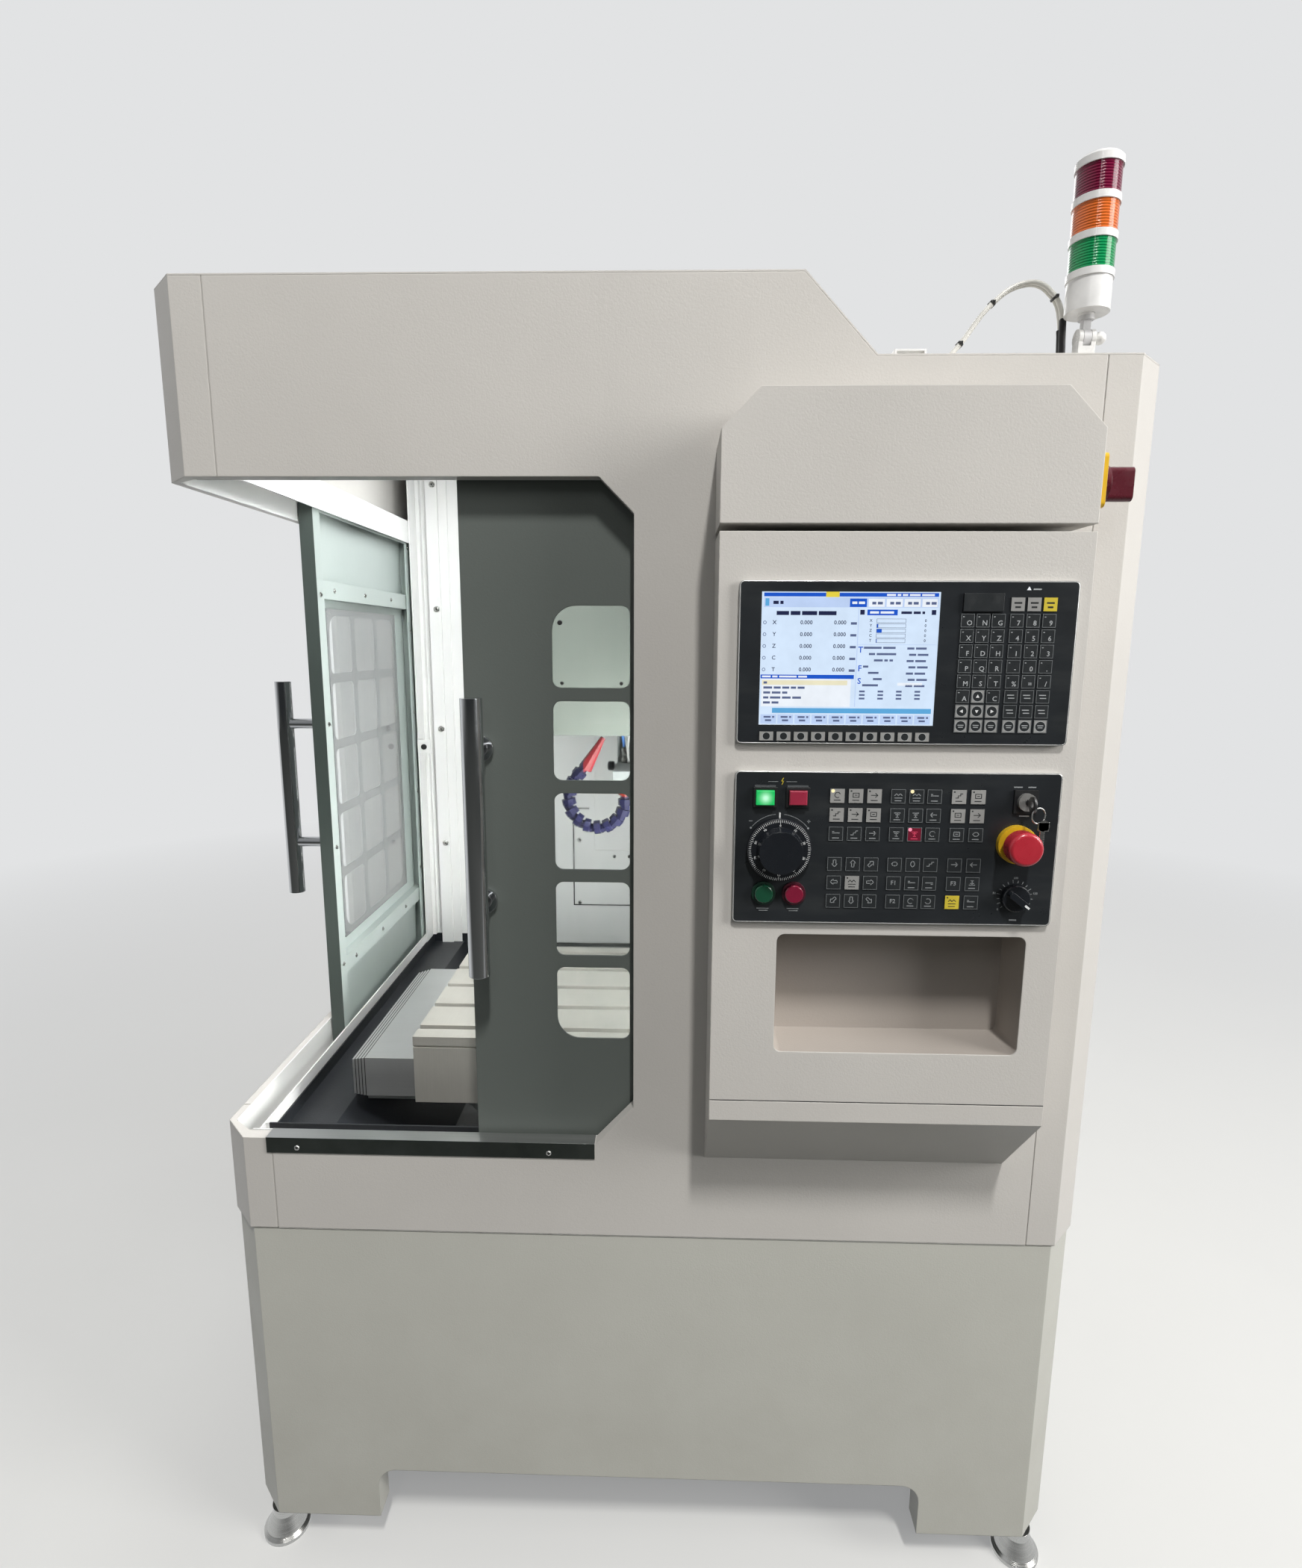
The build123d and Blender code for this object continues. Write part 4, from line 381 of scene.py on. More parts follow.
def plate_front(name, face, side):
    """A sheet whose front face is printed and whose edge is bare metal."""
    g = Finish(name)
    y = g.axes("Normal")[1]
    edge = g.span(y, -0.93, -0.80)
    cloud = g.noise(9, 5, 0.6)
    front = g.vary(cloud, face, 0.80, 1.28, 0.75)
    wipe = g.noise(1.0, 4, 0.6, g.stretch((5, 5, 26)))
    front = g.mix(g.span(wipe, 0.5, 0.8, 0, 0.22), front, paint(86, 88, 86))
    return g.set(
        Base_Color=g.mix(edge, front, side),
        Metallic=g.span(edge, 0, 1, 0.0, 0.85),
        Roughness=g.span(g.sum("ADD", edge, g.noise(30, 4, 0.6)), 0.3, 1.2, 0.27, 0.40),
        Normal=g.bump(g.noise(1700, 2, 0.5), 0.08, 0.0003, g.soft_edge(0.0012)),
    )


def folded_strip(name):
    """A folded steel strip, brushed along its length; its front lip is painted darker than its top, a painted
    reflection of a dark floor.
    """
    g = Finish(name)
    painted_reflection_lip = g.span(g.axes("Normal")[1], -0.85, -0.45, 1.0, 0.0)
    lines = g.noise(1.0, 3, 0.6, g.stretch((3, 700, 700)))
    stain = g.noise(11, 5, 0.6)
    top = g.mix(g.span(lines, 0.3, 0.7), paint(168, 171, 170), paint(178, 180, 179))
    # Painted reflection: the front lip's dark tone stands in for the dark floor it would mirror
    low = g.mix(g.span(stain, 0.3, 0.75), paint(62, 67, 63), paint(82, 87, 83))
    return g.set(
        Base_Color=g.mix(painted_reflection_lip, top, low),
        Metallic=0.9,
        Roughness=g.span(g.sum("ADD", lines, stain), 0.6, 1.4, 0.27, 0.34),
        Anisotropic=0.4,
        Normal=g.bump(lines, 0.02, 0.0003, g.soft_edge(0.0008)),
    )


pane = clear_pane("clear_sheet")
hazy_pane = clear_pane("hazy_sheet", 0.78, 0.002, 0.008)
lens = lens_plastic()
plate = plate_front("panel_plate", paint(35, 38, 41), paint(196, 196, 194))
trim = folded_strip("sill_strip")

collar_zones = [
    (zone(x=(433, 483), z=(1234, 1283)), (214, 172, 34)),
    (zone(x=(524, 600), z=(1650, 1740)), (224, 178, 30)),
    (zone(x=(453, 478), y=(-200, -116), z=(1299, 1324)), (120, 120, 118)),
    (zone(x=(131, 164), z=(1175, 1208)), (14, 50, 36)),
    (zone(x=(169, 202), z=(1175, 1208)), (72, 15, 34)),
]
hose_zones = [
    (zone(x=(-132, -80), z=(1268, 1340)), (132, 32, 38)),
    (zone(x=(-70, -40), z=(1222, 1245)), (120, 40, 32)),
]
pole_foot = [(zone(z=(1890, 1931)), (214, 214, 215))]
collars = zoned("switch_collars", 0.34, collar_zones, (32, 33, 35), 0.25)
hose = zoned("coolant_hose", 0.3, hose_zones, (26, 26, 54), 0.3)
tower_body = zoned("tower_housing", 0.34, pole_foot, (236, 236, 235), 0.2)

finishes = (
    (casting, "base_casting column saddle headstock"),
    (steel, "linear_rails x_rails spindle levelling_feet"),
    (ground_iron, "table"),
    (trim, "sill_trim"),
    (motor, "axis_motors x_motor spindle_motor"),
    (white, "front_panel corner_columns left_side_panel right_side_panel roof rear_panel"),
    (white, "console_header electrical_cabinet cabinet_door"),
    (console_white, "console_box"),
    (cover_paint_shaded, "magazine_cover"),
    (inner_white, "liner head_apron"),
    (track_paint, "door_tracks"),
    (tray_paint, "chip_tray"),
    (skirt, "base_skirt coolant_tank"),
    (door_paint, "front_door"),
    (side_paint_painted_light, "side_door"),
    (cover_steel, "magazine_frame magazine_turret way_covers"),
    (pane, "front_door_window"),
    (hazy_pane, "side_door_window"),
    (chrome, "front_door_handle side_door_handle"),
    (white_plastic, "tower_bracket work_light"),
    (tower_body, "tower_housing"),
    (lens, "tower_lenses"),
    (plate, "display_unit operator_panel"),
    (key_dark, "display_keys panel_keys"),
    (collars, "switch_collars"),
    (knob_dark, "handwheel override_knob"),
    (dark_steel, "cabinet_latch"),
    (key_steel, "switch_key"),
    (red_plastic, "estop_button"),
    (dark_green, "start_button"),
    (dark_red, "stop_button"),
    (green_glow, "power_on_button"),
    (power_red, "power_off_button"),
    (maroon, "switch_knob"),
    (hose, "coolant_hose"),
    (cable_white, "roof_cables"),
)
finish = {name: material for material, names in finishes for name in names.split()}
for name, obj in nodes.items():
    material = finish[name]
    for place in obj.material_slots:
        place.link = "OBJECT"
        place.material = material
    if not obj.material_slots:
        obj.data.materials.append(material)


# Mesh making
def spokes(across, up, count):
    """Unit directions evenly spaced in the plane of two others."""
    angles = (TURN * step / count for step in range(count))
    return [across * math.cos(angle) + up * math.sin(angle) for angle in angles]


class Form:
    """A mesh under construction in machine millimetres, with one material index at a time."""

    def __init__(self):
        self.mesh = bmesh.new()
        self.index = 0

    def use(self, index):
        self.index = index
        return self

    def skin(self, verts, smooth=False):
        made = self.mesh.faces.new(verts)
        made.material_index = self.index
        made.smooth = smooth

    def face(self, points):
        self.skin([self.mesh.verts.new(at(*point)) for point in points])

    def rings(self, loops, caps=(True, True)):
        """Skins a list of closed point rings, each given in machine millimetres."""
        rows = [[self.mesh.verts.new(at(*point)) for point in loop] for loop in loops]
        count = len(rows[0])
        for first, second in zip(rows, rows[1:]):
            for step in range(count):
                other = (step + 1) % count
                self.skin((first[step], first[other], second[other], second[step]), smooth=True)
        for flag, row in zip(caps, (rows[0][::-1], rows[-1])):
            if flag:
                self.skin(row)

    def turned(self, centre, axis, profile, segments=24, caps=(True, True)):
        """A turned shape: profile is a list of (radius, height along the axis)."""
        axis = Vector(axis).normalized()
        helper = Vector((0, 0, 1)) if abs(axis.z) < 0.9 else Vector((1, 0, 0))
        across = axis.cross(helper).normalized()
        up = axis.cross(across)
        loops = []
        for radius, height in profile:
            middle = Vector(centre) + axis * height
            loops.append([tuple(middle + spoke * radius) for spoke in spokes(across, up, segments)])
        self.rings(loops, caps=caps)

    def slab(self, low, high, edge=0.0):
        """A block with its edges taken off."""
        verts = bmesh.ops.create_cube(self.mesh, size=1.0)["verts"]
        for vert in verts:
            vert.co = at(*(low[i] if vert.co[i] < 0 else high[i] for i in range(3)))
        faces = {face for vert in verts for face in vert.link_faces}
        for face in faces:
            face.material_index = self.index
        if edge:
            edges = list({line for vert in verts for line in vert.link_edges})
            rounding = {"segments": 2, "affect": "EDGES", "profile": 0.6}
            for face in bmesh.ops.bevel(self.mesh, geom=edges, offset=mm(edge), **rounding)["faces"]:
                face.material_index = self.index

    def screw(self, centre, axis, radius):
        """A button-head screw; its hexagon socket ends on the second material, painted dark as a painted
        shade of the deep socket.
        """
        tall = radius * 0.55
        head = [(radius, 0), (radius, tall * 0.35), (radius * 0.86, tall * 0.8), (radius * 0.5, tall)]
        self.turned(centre, axis, head, 14, (False, False))
        kept = self.index
        self.turned(centre, axis, [(radius * 0.5, tall), (radius * 0.44, tall * 0.3)], 6, (False, False))
        self.index = 1
        self.turned(centre, axis, [(radius * 0.44, tall * 0.3), (0.01, tall * 0.3)], 6, (False, False))
        self.index = kept

    def sign(self, shape, x, z, y, turn=0.0):
        """Flat shapes on a front face: shape is (points, faces)."""
        cos, sin = math.cos(turn), math.sin(turn)
        points, faces = shape
        made = []
        for a, b in points:
            made.append(self.mesh.verts.new(at(x + (a * cos - b * sin), y, z + (a * sin + b * cos))))
        for loop in faces:
            self.skin([made[index] for index in loop])

    def patch(self, x0, z0, x1, z1, y):
        self.face([(x0, y, z0), (x1, y, z0), (x1, y, z1), (x0, y, z1)])

    def rim(self, x0, z0, x1, z1, y, width):
        """A thin printed outline."""
        self.patch(x0, z0, x1, z0 + width, y)
        self.patch(x0, z1 - width, x1, z1, y)
        self.patch(x0, z0 + width, x0 + width, z1 - width, y)
        self.patch(x1 - width, z0 + width, x1, z1 - width, y)

    def stroke(self, points, width, y):
        """A printed line through the points (x, z)."""
        for (x0, z0), (x1, z1) in zip(points, points[1:]):
            along = Vector((x1 - x0, z1 - z0))
            if along.length < 1e-6:
                continue
            along.normalize()
            side = Vector((along.y, -along.x)) * (width / 2)
            along = along * (width * 0.3)
            ends = ((x0, z0, -1, 1), (x1, z1, 1, 1), (x1, z1, 1, -1), (x0, z0, -1, -1))
            moved = [(x + a * along.x + b * side.x, z + a * along.y + b * side.y) for x, z, a, b in ends]
            self.face([(x, y, z) for x, z in moved])

    def ring(self, x, z, radius, width, y, segments=20):
        for step in range(segments):
            a, b = TURN * step / segments, TURN * (step + 1) / segments
            inner = radius - width
            corners = ((inner, a), (radius, a), (radius, b), (inner, b))
            self.face([(cx, y, cz) for cx, cz in (polar(x, z, *corner) for corner in corners)])

    def dot(self, x, z, radius, y, segments=20):
        corners = [polar(x, z, radius, TURN * step / segments) for step in range(segments)]
        self.face([(cx, y, cz) for cx, cz in corners])

    def made(self, name, materials):
        data = bpy.data.meshes.new(name)
        self.mesh.to_mesh(data)
        self.mesh.free()
        obj = bpy.data.objects.new(name, data)
        bpy.context.scene.collection.objects.link(obj)
        for material in materials:
            data.materials.append(material)
        return obj

    def done(self, name, body, materials):
        """Ends the mesh as a piece that rides on a body."""
        obj = self.made(name, materials)
        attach(obj, body)


def blocks(name, material, boxes):
    """A still piece of plain blocks, each with the size of its rounded edges."""
    form = Form()
    for low, high, edge in boxes:
        form.slab(low, high, edge)
    form.done(name, "frame", [material])


@functools.cache
def letters(text, size):
    """Flat outlines of a few plain characters, as (points, faces)."""
    curve = bpy.data.curves.new("scratch_text", "FONT")
    curve.body = text
    curve.size = size
    curve.align_x = "CENTER"
    curve.align_y = "CENTER"
    curve.resolution_u = 2
    curve.offset = 0.014 * size
    holder = bpy.data.objects.new("scratch_text", curve)
    flat = bpy.data.meshes.new_from_object(holder)
    points = [(vert.co.x, vert.co.y) for vert in flat.vertices]
    faces = [tuple(face.vertices) for face in flat.polygons]
    bpy.data.objects.remove(holder)
    bpy.data.curves.remove(curve)
    bpy.data.meshes.remove(flat)
    return points, faces


# Camera at the photograph's place, height and angle
CAMERA_PLACE = (30.827, -1106.803, 1501.113)
CAMERA_TURN = (-1.4957, -9.7986, 0.2847)
SENSOR, FOCAL_PIXELS, PHOTO_HEIGHT = 36, 1088.334, 2100
camera_data = bpy.data.cameras.new("camera")
camera = bpy.data.objects.new("camera", camera_data)
bpy.context.scene.collection.objects.link(camera)
yaw, pitch, roll = (math.radians(value) for value in CAMERA_TURN)
ahead = Vector((math.sin(yaw) * math.cos(pitch), math.cos(yaw) * math.cos(pitch), math.sin(pitch)))
right = Vector((math.cos(yaw), -math.sin(yaw), 0))
above = right.cross(ahead)
turned_right = right * math.cos(roll) + above * math.sin(roll)
turned_up = above * math.cos(roll) - right * math.sin(roll)
spin = Matrix((turned_right, turned_up, -ahead)).transposed().to_4x4()
camera.matrix_world = Matrix.Translation(at(*CAMERA_PLACE)) @ spin
camera_data.sensor_width = SENSOR
camera_data.lens = SENSOR * FOCAL_PIXELS / PHOTO_HEIGHT
camera_data.clip_start = 0.02
camera_data.clip_end = 60
bpy.context.scene.camera = camera

# Floor and backdrop: the floor keeps the shadow and fades into the backdrop far out
BACKDROP = paint(226, 227, 228)


def plain_stage(name, colour):
    g = Finish(name)
    path = g.add("LightPath").outputs
    seen = g.sum("MAXIMUM", path["Is Camera Ray"], path["Is Transmission Ray"])
    x, y, z = g.axes()
    far = g.span(g.away(x, y), 1.3, 5.5, 0.35, 1.0)
    tone = g.vary(g.noise(1.5, 4, 0.6), colour, 0.985, 1.01)
    tone = g.mix(path["Is Diffuse Ray"], tone, paint(86, 88, 86))
    g.set(Base_Color=tone, Roughness=0.75, Specular_IOR_Level=0.25)
    result = g.shader.outputs[0]
    dim = g.mix(g.span(y, -2.4, -0.6), (0.035, 0.038, 0.036, 1.0), BACKDROP)
    distant = g.sum("MULTIPLY", seen, far)
    mirrored = g.sum("MULTIPLY", path["Is Glossy Ray"], 0.92)
    for amount, colour in ((distant, BACKDROP), (mirrored, dim)):
        result = g.blend(amount, result, g.add("Emission", {"Color": colour}).outputs[0])
    g.feed(g.out.inputs[0], result)
    return g.material


FLOOR_HALF = 14000
floor_finish = plain_stage("floor_finish", paint(206, 206, 203))
floor = Form()
floor.face([(a * FLOOR_HALF, b * FLOOR_HALF, 0) for a, b in ((-1, -1), (1, -1), (1, 1), (-1, 1))])
floor_obj = floor.made("floor", [floor_finish])

# World: pale for the eye and glass, pale with a dim front for metal, plain and soft for the light
world = bpy.data.worlds.new("studio")
bpy.context.scene.world = world
air = Graph(world)
front = air.axes("Generated")[1]
path = air.add("LightPath").outputs
SKY_LIGHT = 0.42


def sky(strength, colour, dim=None, low=0, high=1):
    """A plain sky, or one that is dim towards the front."""
    shown = air.mix(air.span(front, low, high), dim, colour) if dim else colour
    return air.add("Background", {0: shown, 1: strength}).outputs[0]


whole = sky(SKY_LIGHT, (1.0, 1.0, 1.0, 1.0), (0.09, 0.09, 0.094, 1.0), -0.85, 0.35)
seen_sky = sky(1.0, BACKDROP)
metal_sky = sky(1.0, BACKDROP, (0.030, 0.032, 0.034, 1.0), -0.80, 0.25)
for ray, shown in (("Glossy", metal_sky), ("Transmission", seen_sky), ("Camera", seen_sky)):
    whole = air.blend(path["Is " + ray + " Ray"], whole, shown)
air.add("OutputWorld", {0: whole})


def area_light(name, place, aim, size, power, colour):
    data = bpy.data.lights.new(name, "AREA")
    data.shape = "RECTANGLE"
    data.size, data.size_y = size
    data.energy = power
    data.color = colour
    obj = bpy.data.objects.new(name, data)
    bpy.context.scene.collection.objects.link(obj)
    place, aim = at(*place), at(*aim)
    obj.matrix_world = Matrix.Translation(place) @ (aim - place).to_track_quat("-Z", "Y").to_matrix().to_4x4()
    return obj


WARM, COOL = (1.0, 0.985, 0.965), (0.96, 0.985, 1.0)
# Each lamp: name, place and aim in machine millimetres, size in metres, watts, colour
lamps = (
    ("key_light", (960, -4400, 8630), (0, 200, 950), (0.35, 1.0), 600, WARM),
    ("side_light", (3600, -1400, 2600), (300, 200, 1000), (1.6, 2.0), 140, WARM),
    ("ceiling_strip", (-186, -2825, 3280), (574, 75, 2040), (0.10, 1.0), 8, (1.0, 0.99, 0.975)),
    ("fill_light", (-2600, -1900, 2600), (-100, 500, 900), (2.6, 2.6), 5, (0.97, 0.985, 1.0)),
    ("rear_light", (400, 4300, 3300), (0, 1000, 1000), (3.0, 2.2), 55, (1.0, 1.0, 1.0)),
    ("machine_lamp", (-300, 112, 1924), (-360, 560, 900), (0.38, 0.03), 5.5, COOL),
    ("inner_light", (-340, 660, 1820), (-640, 670, 1400), (0.26, 0.36), 2.0, COOL),
    ("inner_fill", (150, 122, 1010), (-600, 720, 1040), (0.11, 0.6), 8.4, (0.97, 0.99, 0.985)),
)
placed = [area_light(*lamp) for lamp in lamps]
placed[-1].data.spread = math.radians(125)
for lamp in placed[-2:]:
    lamp.visible_camera = lamp.visible_glossy = lamp.visible_transmission = False

# The screen: plain fields, bars and numbers, placed by shares of its width and height
SCREEN_X, SCREEN_Y, SCREEN_Z, SCREEN_W, SCREEN_H = 136.0, -112.35, 1404.5, 211.0, 158.5
screen_colours = (
    ("screen_pale", (208, 226, 247), 0.94),
    ("screen_sky", (186, 206, 240), 0.94),
    ("screen_blue", (28, 84, 196), 0.94),
    ("screen_ink", (34, 40, 74), 0.9),
    ("screen_cyan", (92, 164, 214), 0.94),
    ("screen_cream", (232, 226, 196), 0.92),
    ("screen_yellow", (228, 208, 70), 0.92),
    ("screen_soft_ink", (92, 104, 140), 0.9),
    ("screen_white", (232, 238, 246), 0.94),
)
screen_parts = [glow(*row) for row in screen_colours]
PALE, SKY, BLUE, INK, CYAN, CREAM, YELLOW, SOFT, WHITE = range(9)
screen = Form()


def spot(u, v):
    return SCREEN_X + SCREEN_W * u, SCREEN_Z + SCREEN_H * (1 - v)


def field(colour, u0, v0, u1, v1, lift=0):
    (x0, z1), (x1, z0) = spot(u0, v0), spot(u1, v1)
    screen.use(colour).patch(x0, z0, x1, z1, SCREEN_Y - 0.02 * lift)


def bars(colour, u0, u1, v, height, lengths, lift=3):
    """A row of short dashes standing for a line of small print."""
    place = u0
    for length in lengths:
        if place + length > u1:
            break
        field(colour, place, v, place + length, v + height, lift)
        place += length + 0.009


def word(colour, text, size, u, v, drop=0.0):
    x, z = spot(u, v)
    screen.use(colour).sign(letters(text, size), x, z - drop, SCREEN_Y - 0.05)


field(PALE, 0, 0, 1, 1)
field(BLUE, 0.012, 0.008, 0.99, 0.036, 1)
field(YELLOW, 0.36, 0.0, 0.435, 0.040, 2)
field(SKY, 0.012, 0.042, 0.99, 0.115, 1)
bars(WHITE, 0.70, 0.99, 0.016, 0.014, (0.05, 0.02, 0.03, 0.06, 0.07), 2)
for u0, u1 in ((0.60, 0.69), (0.70, 0.79), (0.80, 0.89), (0.90, 0.985)):
    field(WHITE, u0, 0.052, u1, 0.110, 2)
    bars(SOFT, u0 + 0.02, u1, 0.073, 0.020, (0.022, 0.028))
field(BLUE, 0.495, 0.050, 0.590, 0.112, 2)
bars(WHITE, 0.508, 0.58, 0.072, 0.018, (0.028, 0.034))
field(CYAN, 0.020, 0.050, 0.042, 0.105, 2)
bars(INK, 0.065, 0.13, 0.068, 0.024, (0.03, 0.018), 2)
bars(INK, 0.085, 0.53, 0.143, 0.030, (0.07, 0.055, 0.085, 0.10), 2)
for row, axis in enumerate("XYZCT"):
    v = 0.228 + 0.088 * row
    screen.use(SOFT).ring(*spot(0.020, v), 2.1, 0.7, SCREEN_Y - 0.04, 12)
    for text, u in ((axis, 0.075), ("0.000", 0.255), ("0.000", 0.445)):
        word(INK, text, 6.6, u, v)
    bars(SOFT, 0.505, 0.56, v - 0.004, 0.018, (0.034,), 2)
field(SKY, 0.545, 0.12, 0.549, 0.86, 2)
field(BLUE, 0.595, 0.130, 0.765, 0.172, 2)
bars(WHITE, 0.610, 0.76, 0.143, 0.017, (0.05, 0.075))
bars(INK, 0.785, 0.95, 0.143, 0.019, (0.06, 0.04, 0.015))
field(INK, 0.555, 0.132, 0.580, 0.168, 2)
field(INK, 0.955, 0.132, 0.980, 0.168, 2)
for row, (axis, load) in enumerate((("X", 0.0), ("Y", 0.05), ("Z", 0.18), ("C", 0.0), ("T", 0.02))):
    v = 0.200 + 0.037 * row
    word(INK, axis, 4.6, 0.618, v, 1.8)
    word(INK, "0", 4.6, 0.925, v, 1.8)
    (x0, z), (x1, z) = spot(0.650, v), spot(0.815, v)
    screen.rim(x0, z - 4.4, x1, z + 0.4, SCREEN_Y - 0.05, 0.35)
    if load:
        field(BLUE, 0.652, v, 0.652 + 0.16 * load, v + 0.026, 3)
field(SKY, 0.549, 0.388, 0.99, 0.391, 2)
modes = ((0.10, 0.07), (0.035, 0.11), (0.05, 0.02, 0.02), (0.03,), (0.06,), (0.05,), (0.09,))
for row, lengths in enumerate(modes):
    v = 0.405 + 0.047 * row
    bars(SOFT, 0.585 + 0.03 * (row % 3), 0.80, v, 0.016, lengths, 2)
    bars(SOFT, 0.83 + 0.012 * (row % 2), 0.985, v + 0.004, 0.016, (0.04, 0.06), 2)
for text, rise in (("T", 0.570), ("F", 0.430), ("S", 0.335)):
    word(BLUE, text, 10, 0.567, 1 - rise)
field(WHITE, 0.785, 0.675, 0.925, 0.697, 2)
for column in range(4):
    for row in range(3):
        bars(SOFT, 0.57 + 0.105 * column, 0.99, 0.735 + 0.027 * row, 0.014, (0.032,), 2)
field(BLUE, 0.004, 0.618, 0.536, 0.648, 2)
bars(WHITE, 0.012, 0.5, 0.626, 0.013, (0.05, 0.03, 0.10, 0.05))
field(WHITE, 0.010, 0.650, 0.520, 0.860, 2)
field(CREAM, 0.014, 0.660, 0.500, 0.696, 3)
lines = ((0.02,), (0.05, 0.04, 0.04, 0.03, 0.04), (0.04, 0.05, 0.03), (0.03, 0.06, 0.05, 0.05), (0.04, 0.04))
for row, lengths in enumerate(lines):
    bars(SOFT, 0.022, 0.5, 0.670 + 0.038 * row, 0.017, lengths, 4)
field(CYAN, 0.075, 0.872, 0.985, 0.910, 2)
for column in range(10):
    u = 0.010 + 0.098 * column
    field(SKY, u, 0.922, u + 0.090, 0.992, 2)
    bars(SOFT, u + 0.018, u + 0.09, 0.934, 0.014, (0.040, 0.012))
    bars(SOFT, u + 0.026, u + 0.09, 0.960, 0.014, (0.036,))
screen.done("screen_picture", "frame", screen_parts)

# Keyboard legends
KEY_Y = -114.12
key_x = (380, 398.1, 416.2, 437.6, 456.7, 475.5)
key_rows = ("ONG789", "XYZ456", "FDH123", "PQR-0.", "MST%=/", "A C   ", "      ", "      ")
arrow_turns = {(5, 1): 0.0, (6, 0): math.pi / 2, (6, 1): math.pi, (6, 2): -math.pi / 2}
K_PALE, K_GREY, K_YELLOW, K_DARK, K_WHITE, K_RIM = range(6)
ARROW = ([(-2.2, -1.5), (2.2, -1.5), (0, 2.4)], [(0, 1, 2)])
k = Form()
for row, text in enumerate(key_rows):
    z = 1530 - 17.93 * row
    for column, x in enumerate(key_x):
        turn = arrow_turns.get((row, column))
        k.use(K_RIM).rim(x - 7.9, z - 7.9, x + 7.9, z + 7.9, KEY_Y, 0.6)
        if turn is not None or row == 7:
            k.use(K_GREY).patch(x - 7.1, z - 7.1, x + 7.1, z + 7.1, KEY_Y + 0.02)
            k.use(K_DARK).dot(x, z, 6.6, KEY_Y - 0.02)
            k.use(K_PALE).ring(x, z, 6.6, 0.6, KEY_Y - 0.04)
        k.use(K_PALE)
        if turn is not None:
            k.use(K_WHITE).sign(ARROW, x, z, KEY_Y - 0.05, turn)
        elif row == 7:
            k.patch(x - 3.6, z + 0.5, x + 3.6, z + 1.5, KEY_Y - 0.05)
            k.patch(x - 2.8, z - 2.0, x + 2.8, z - 1.0, KEY_Y - 0.05)
        elif column > 2 and row > 4:
            k.patch(x - 4.6, z + 1.2, x + 3.6, z + 2.3, KEY_Y)
            k.patch(x - 3.4, z - 2.4, x + 4.2, z - 1.3, KEY_Y)
        elif text[column] != " ":
            k.sign(letters(text[column], 8.2), x + 2.2, z - 3.0, KEY_Y)
            k.patch(x - 5.8, z + 3.9, x - 3.9, z + 4.8, KEY_Y)
for x, colour in zip(key_x[3:], (K_GREY, K_GREY, K_YELLOW)):
    k.use(colour).patch(x - 7.9, 1541.1, x + 7.9, 1556.9, KEY_Y)
    k.use(K_DARK).patch(x - 4.6, 1549.6, x + 4.6, 1551.6, KEY_Y - 0.02)
    k.patch(x - 3.2, 1544.6, x + 3.4, 1546.8, KEY_Y - 0.02)
for count in range(10):
    x = 145.6 + 21 * count
    k.use(K_GREY).patch(x - 8.4, 1385.1, x + 8.4, 1395.9, KEY_Y)
    k.use(K_DARK).dot(x, 1390.5, 4.9, KEY_Y - 0.02)
    k.use(K_PALE).ring(x, 1390.5, 4.9, 0.5, KEY_Y - 0.04)
key_parts = [line_pale, grey_field, yellow_field, key_dark, line_white, line_dim]
k.done("keyboard_print", "frame", key_parts)

FACE_Y = -113.1
status = Form()
status.sign(([(-2.6, -1.6), (2.6, -1.6), (0, 2.6)], [(0, 1, 2)]), 449.5, 1567.0, FACE_Y)
status.use(1).patch(454.5, 1565.6, 464.0, 1567.2, FACE_Y)
status.done("status_mark", "frame", [white_glow, line_pale])

# Operator keys: outlines, coloured fields and plain signs
signs = {
    "arrow": [[(-4, 0), (4, 0)], [(1.2, 2.6), (4, 0), (1.2, -2.6)]],
    "open": [
        [(-4.4, 1.6), (0.6, 1.6), (0.6, 3.6), (4.4, 0), (0.6, -3.6), (0.6, -1.6), (-4.4, -1.6), (-4.4, 1.6)],
    ],
    "wave": [[(-4.6, 0), (-2.4, 2.4), (0, 0), (2.2, 2.4), (4.6, 0)], [(-4.6, -3), (4.6, -3)]],
    "turn": [[polar(0, 0, 3.4, 0.5 + 0.6 * n) for n in range(9)], [(1.6, 3.4), (3.3, 1.4)]],
    "bolt": [
        [(-3.6, 2.2), (3.6, 2.2)],
        [(-2.2, 0), (2.2, 0)],
        [(0, 2.2), (0, -3.4)],
        [(-1.6, -3.4), (1.6, -3.4)],
    ],
    "box": [[(-3.6, -2.6), (3.6, -2.6), (3.6, 2.6), (-3.6, 2.6), (-3.6, -2.6)], [(-1.4, 0), (1.4, 0)]],
    "loop": [[(-3.8, 0), (-1.4, 2.4), (1.8, 2.4), (3.8, 0), (1.8, -2.4), (-1.4, -2.4), (-3.8, 0)]],
    "step": [[(-4.2, -2.4), (-1.2, -2.4), (-1.2, 0.4), (1.6, 0.4), (1.6, 2.8), (4.2, 2.8)]],
    "line": [[(-4.4, 0), (4.4, 0)], [(-4.4, 1.8), (-2.4, 1.8)]],
}
# Each key: its sign, its ground (0 outline, 1 grey, 2 yellow, 3 lit) and the sign's quarter turns;
# a number left out is 0
plan = (
    "turn 1, box 1, arrow 1, wave, wave, line, step 1, box 1",
    "step 1, arrow 1, box 1, bolt, bolt, arrow 0 2, box 1, arrow 1",
    "line, step, arrow, bolt, bolt 3, turn, box, loop",
    "open 0 3, open 0 1, open 0 0.5, loop, loop 0 1, step, arrow, arrow 0 2",
    "open 0 2, wave 1, open, F1, line, line 0 2, F3, bolt 0 2",
    "open 0 2.5, open 0 -1, open 0 -0.5, F2, turn, turn 0 2, wave 2, line",
)
ARROW_ROW = 3
panel_x = (235.5, 258.3, 281, 310.2, 332.7, 354.6, 384.6, 408)
panel_z = (1317, 1293, 1269, 1230, 1206, 1182)
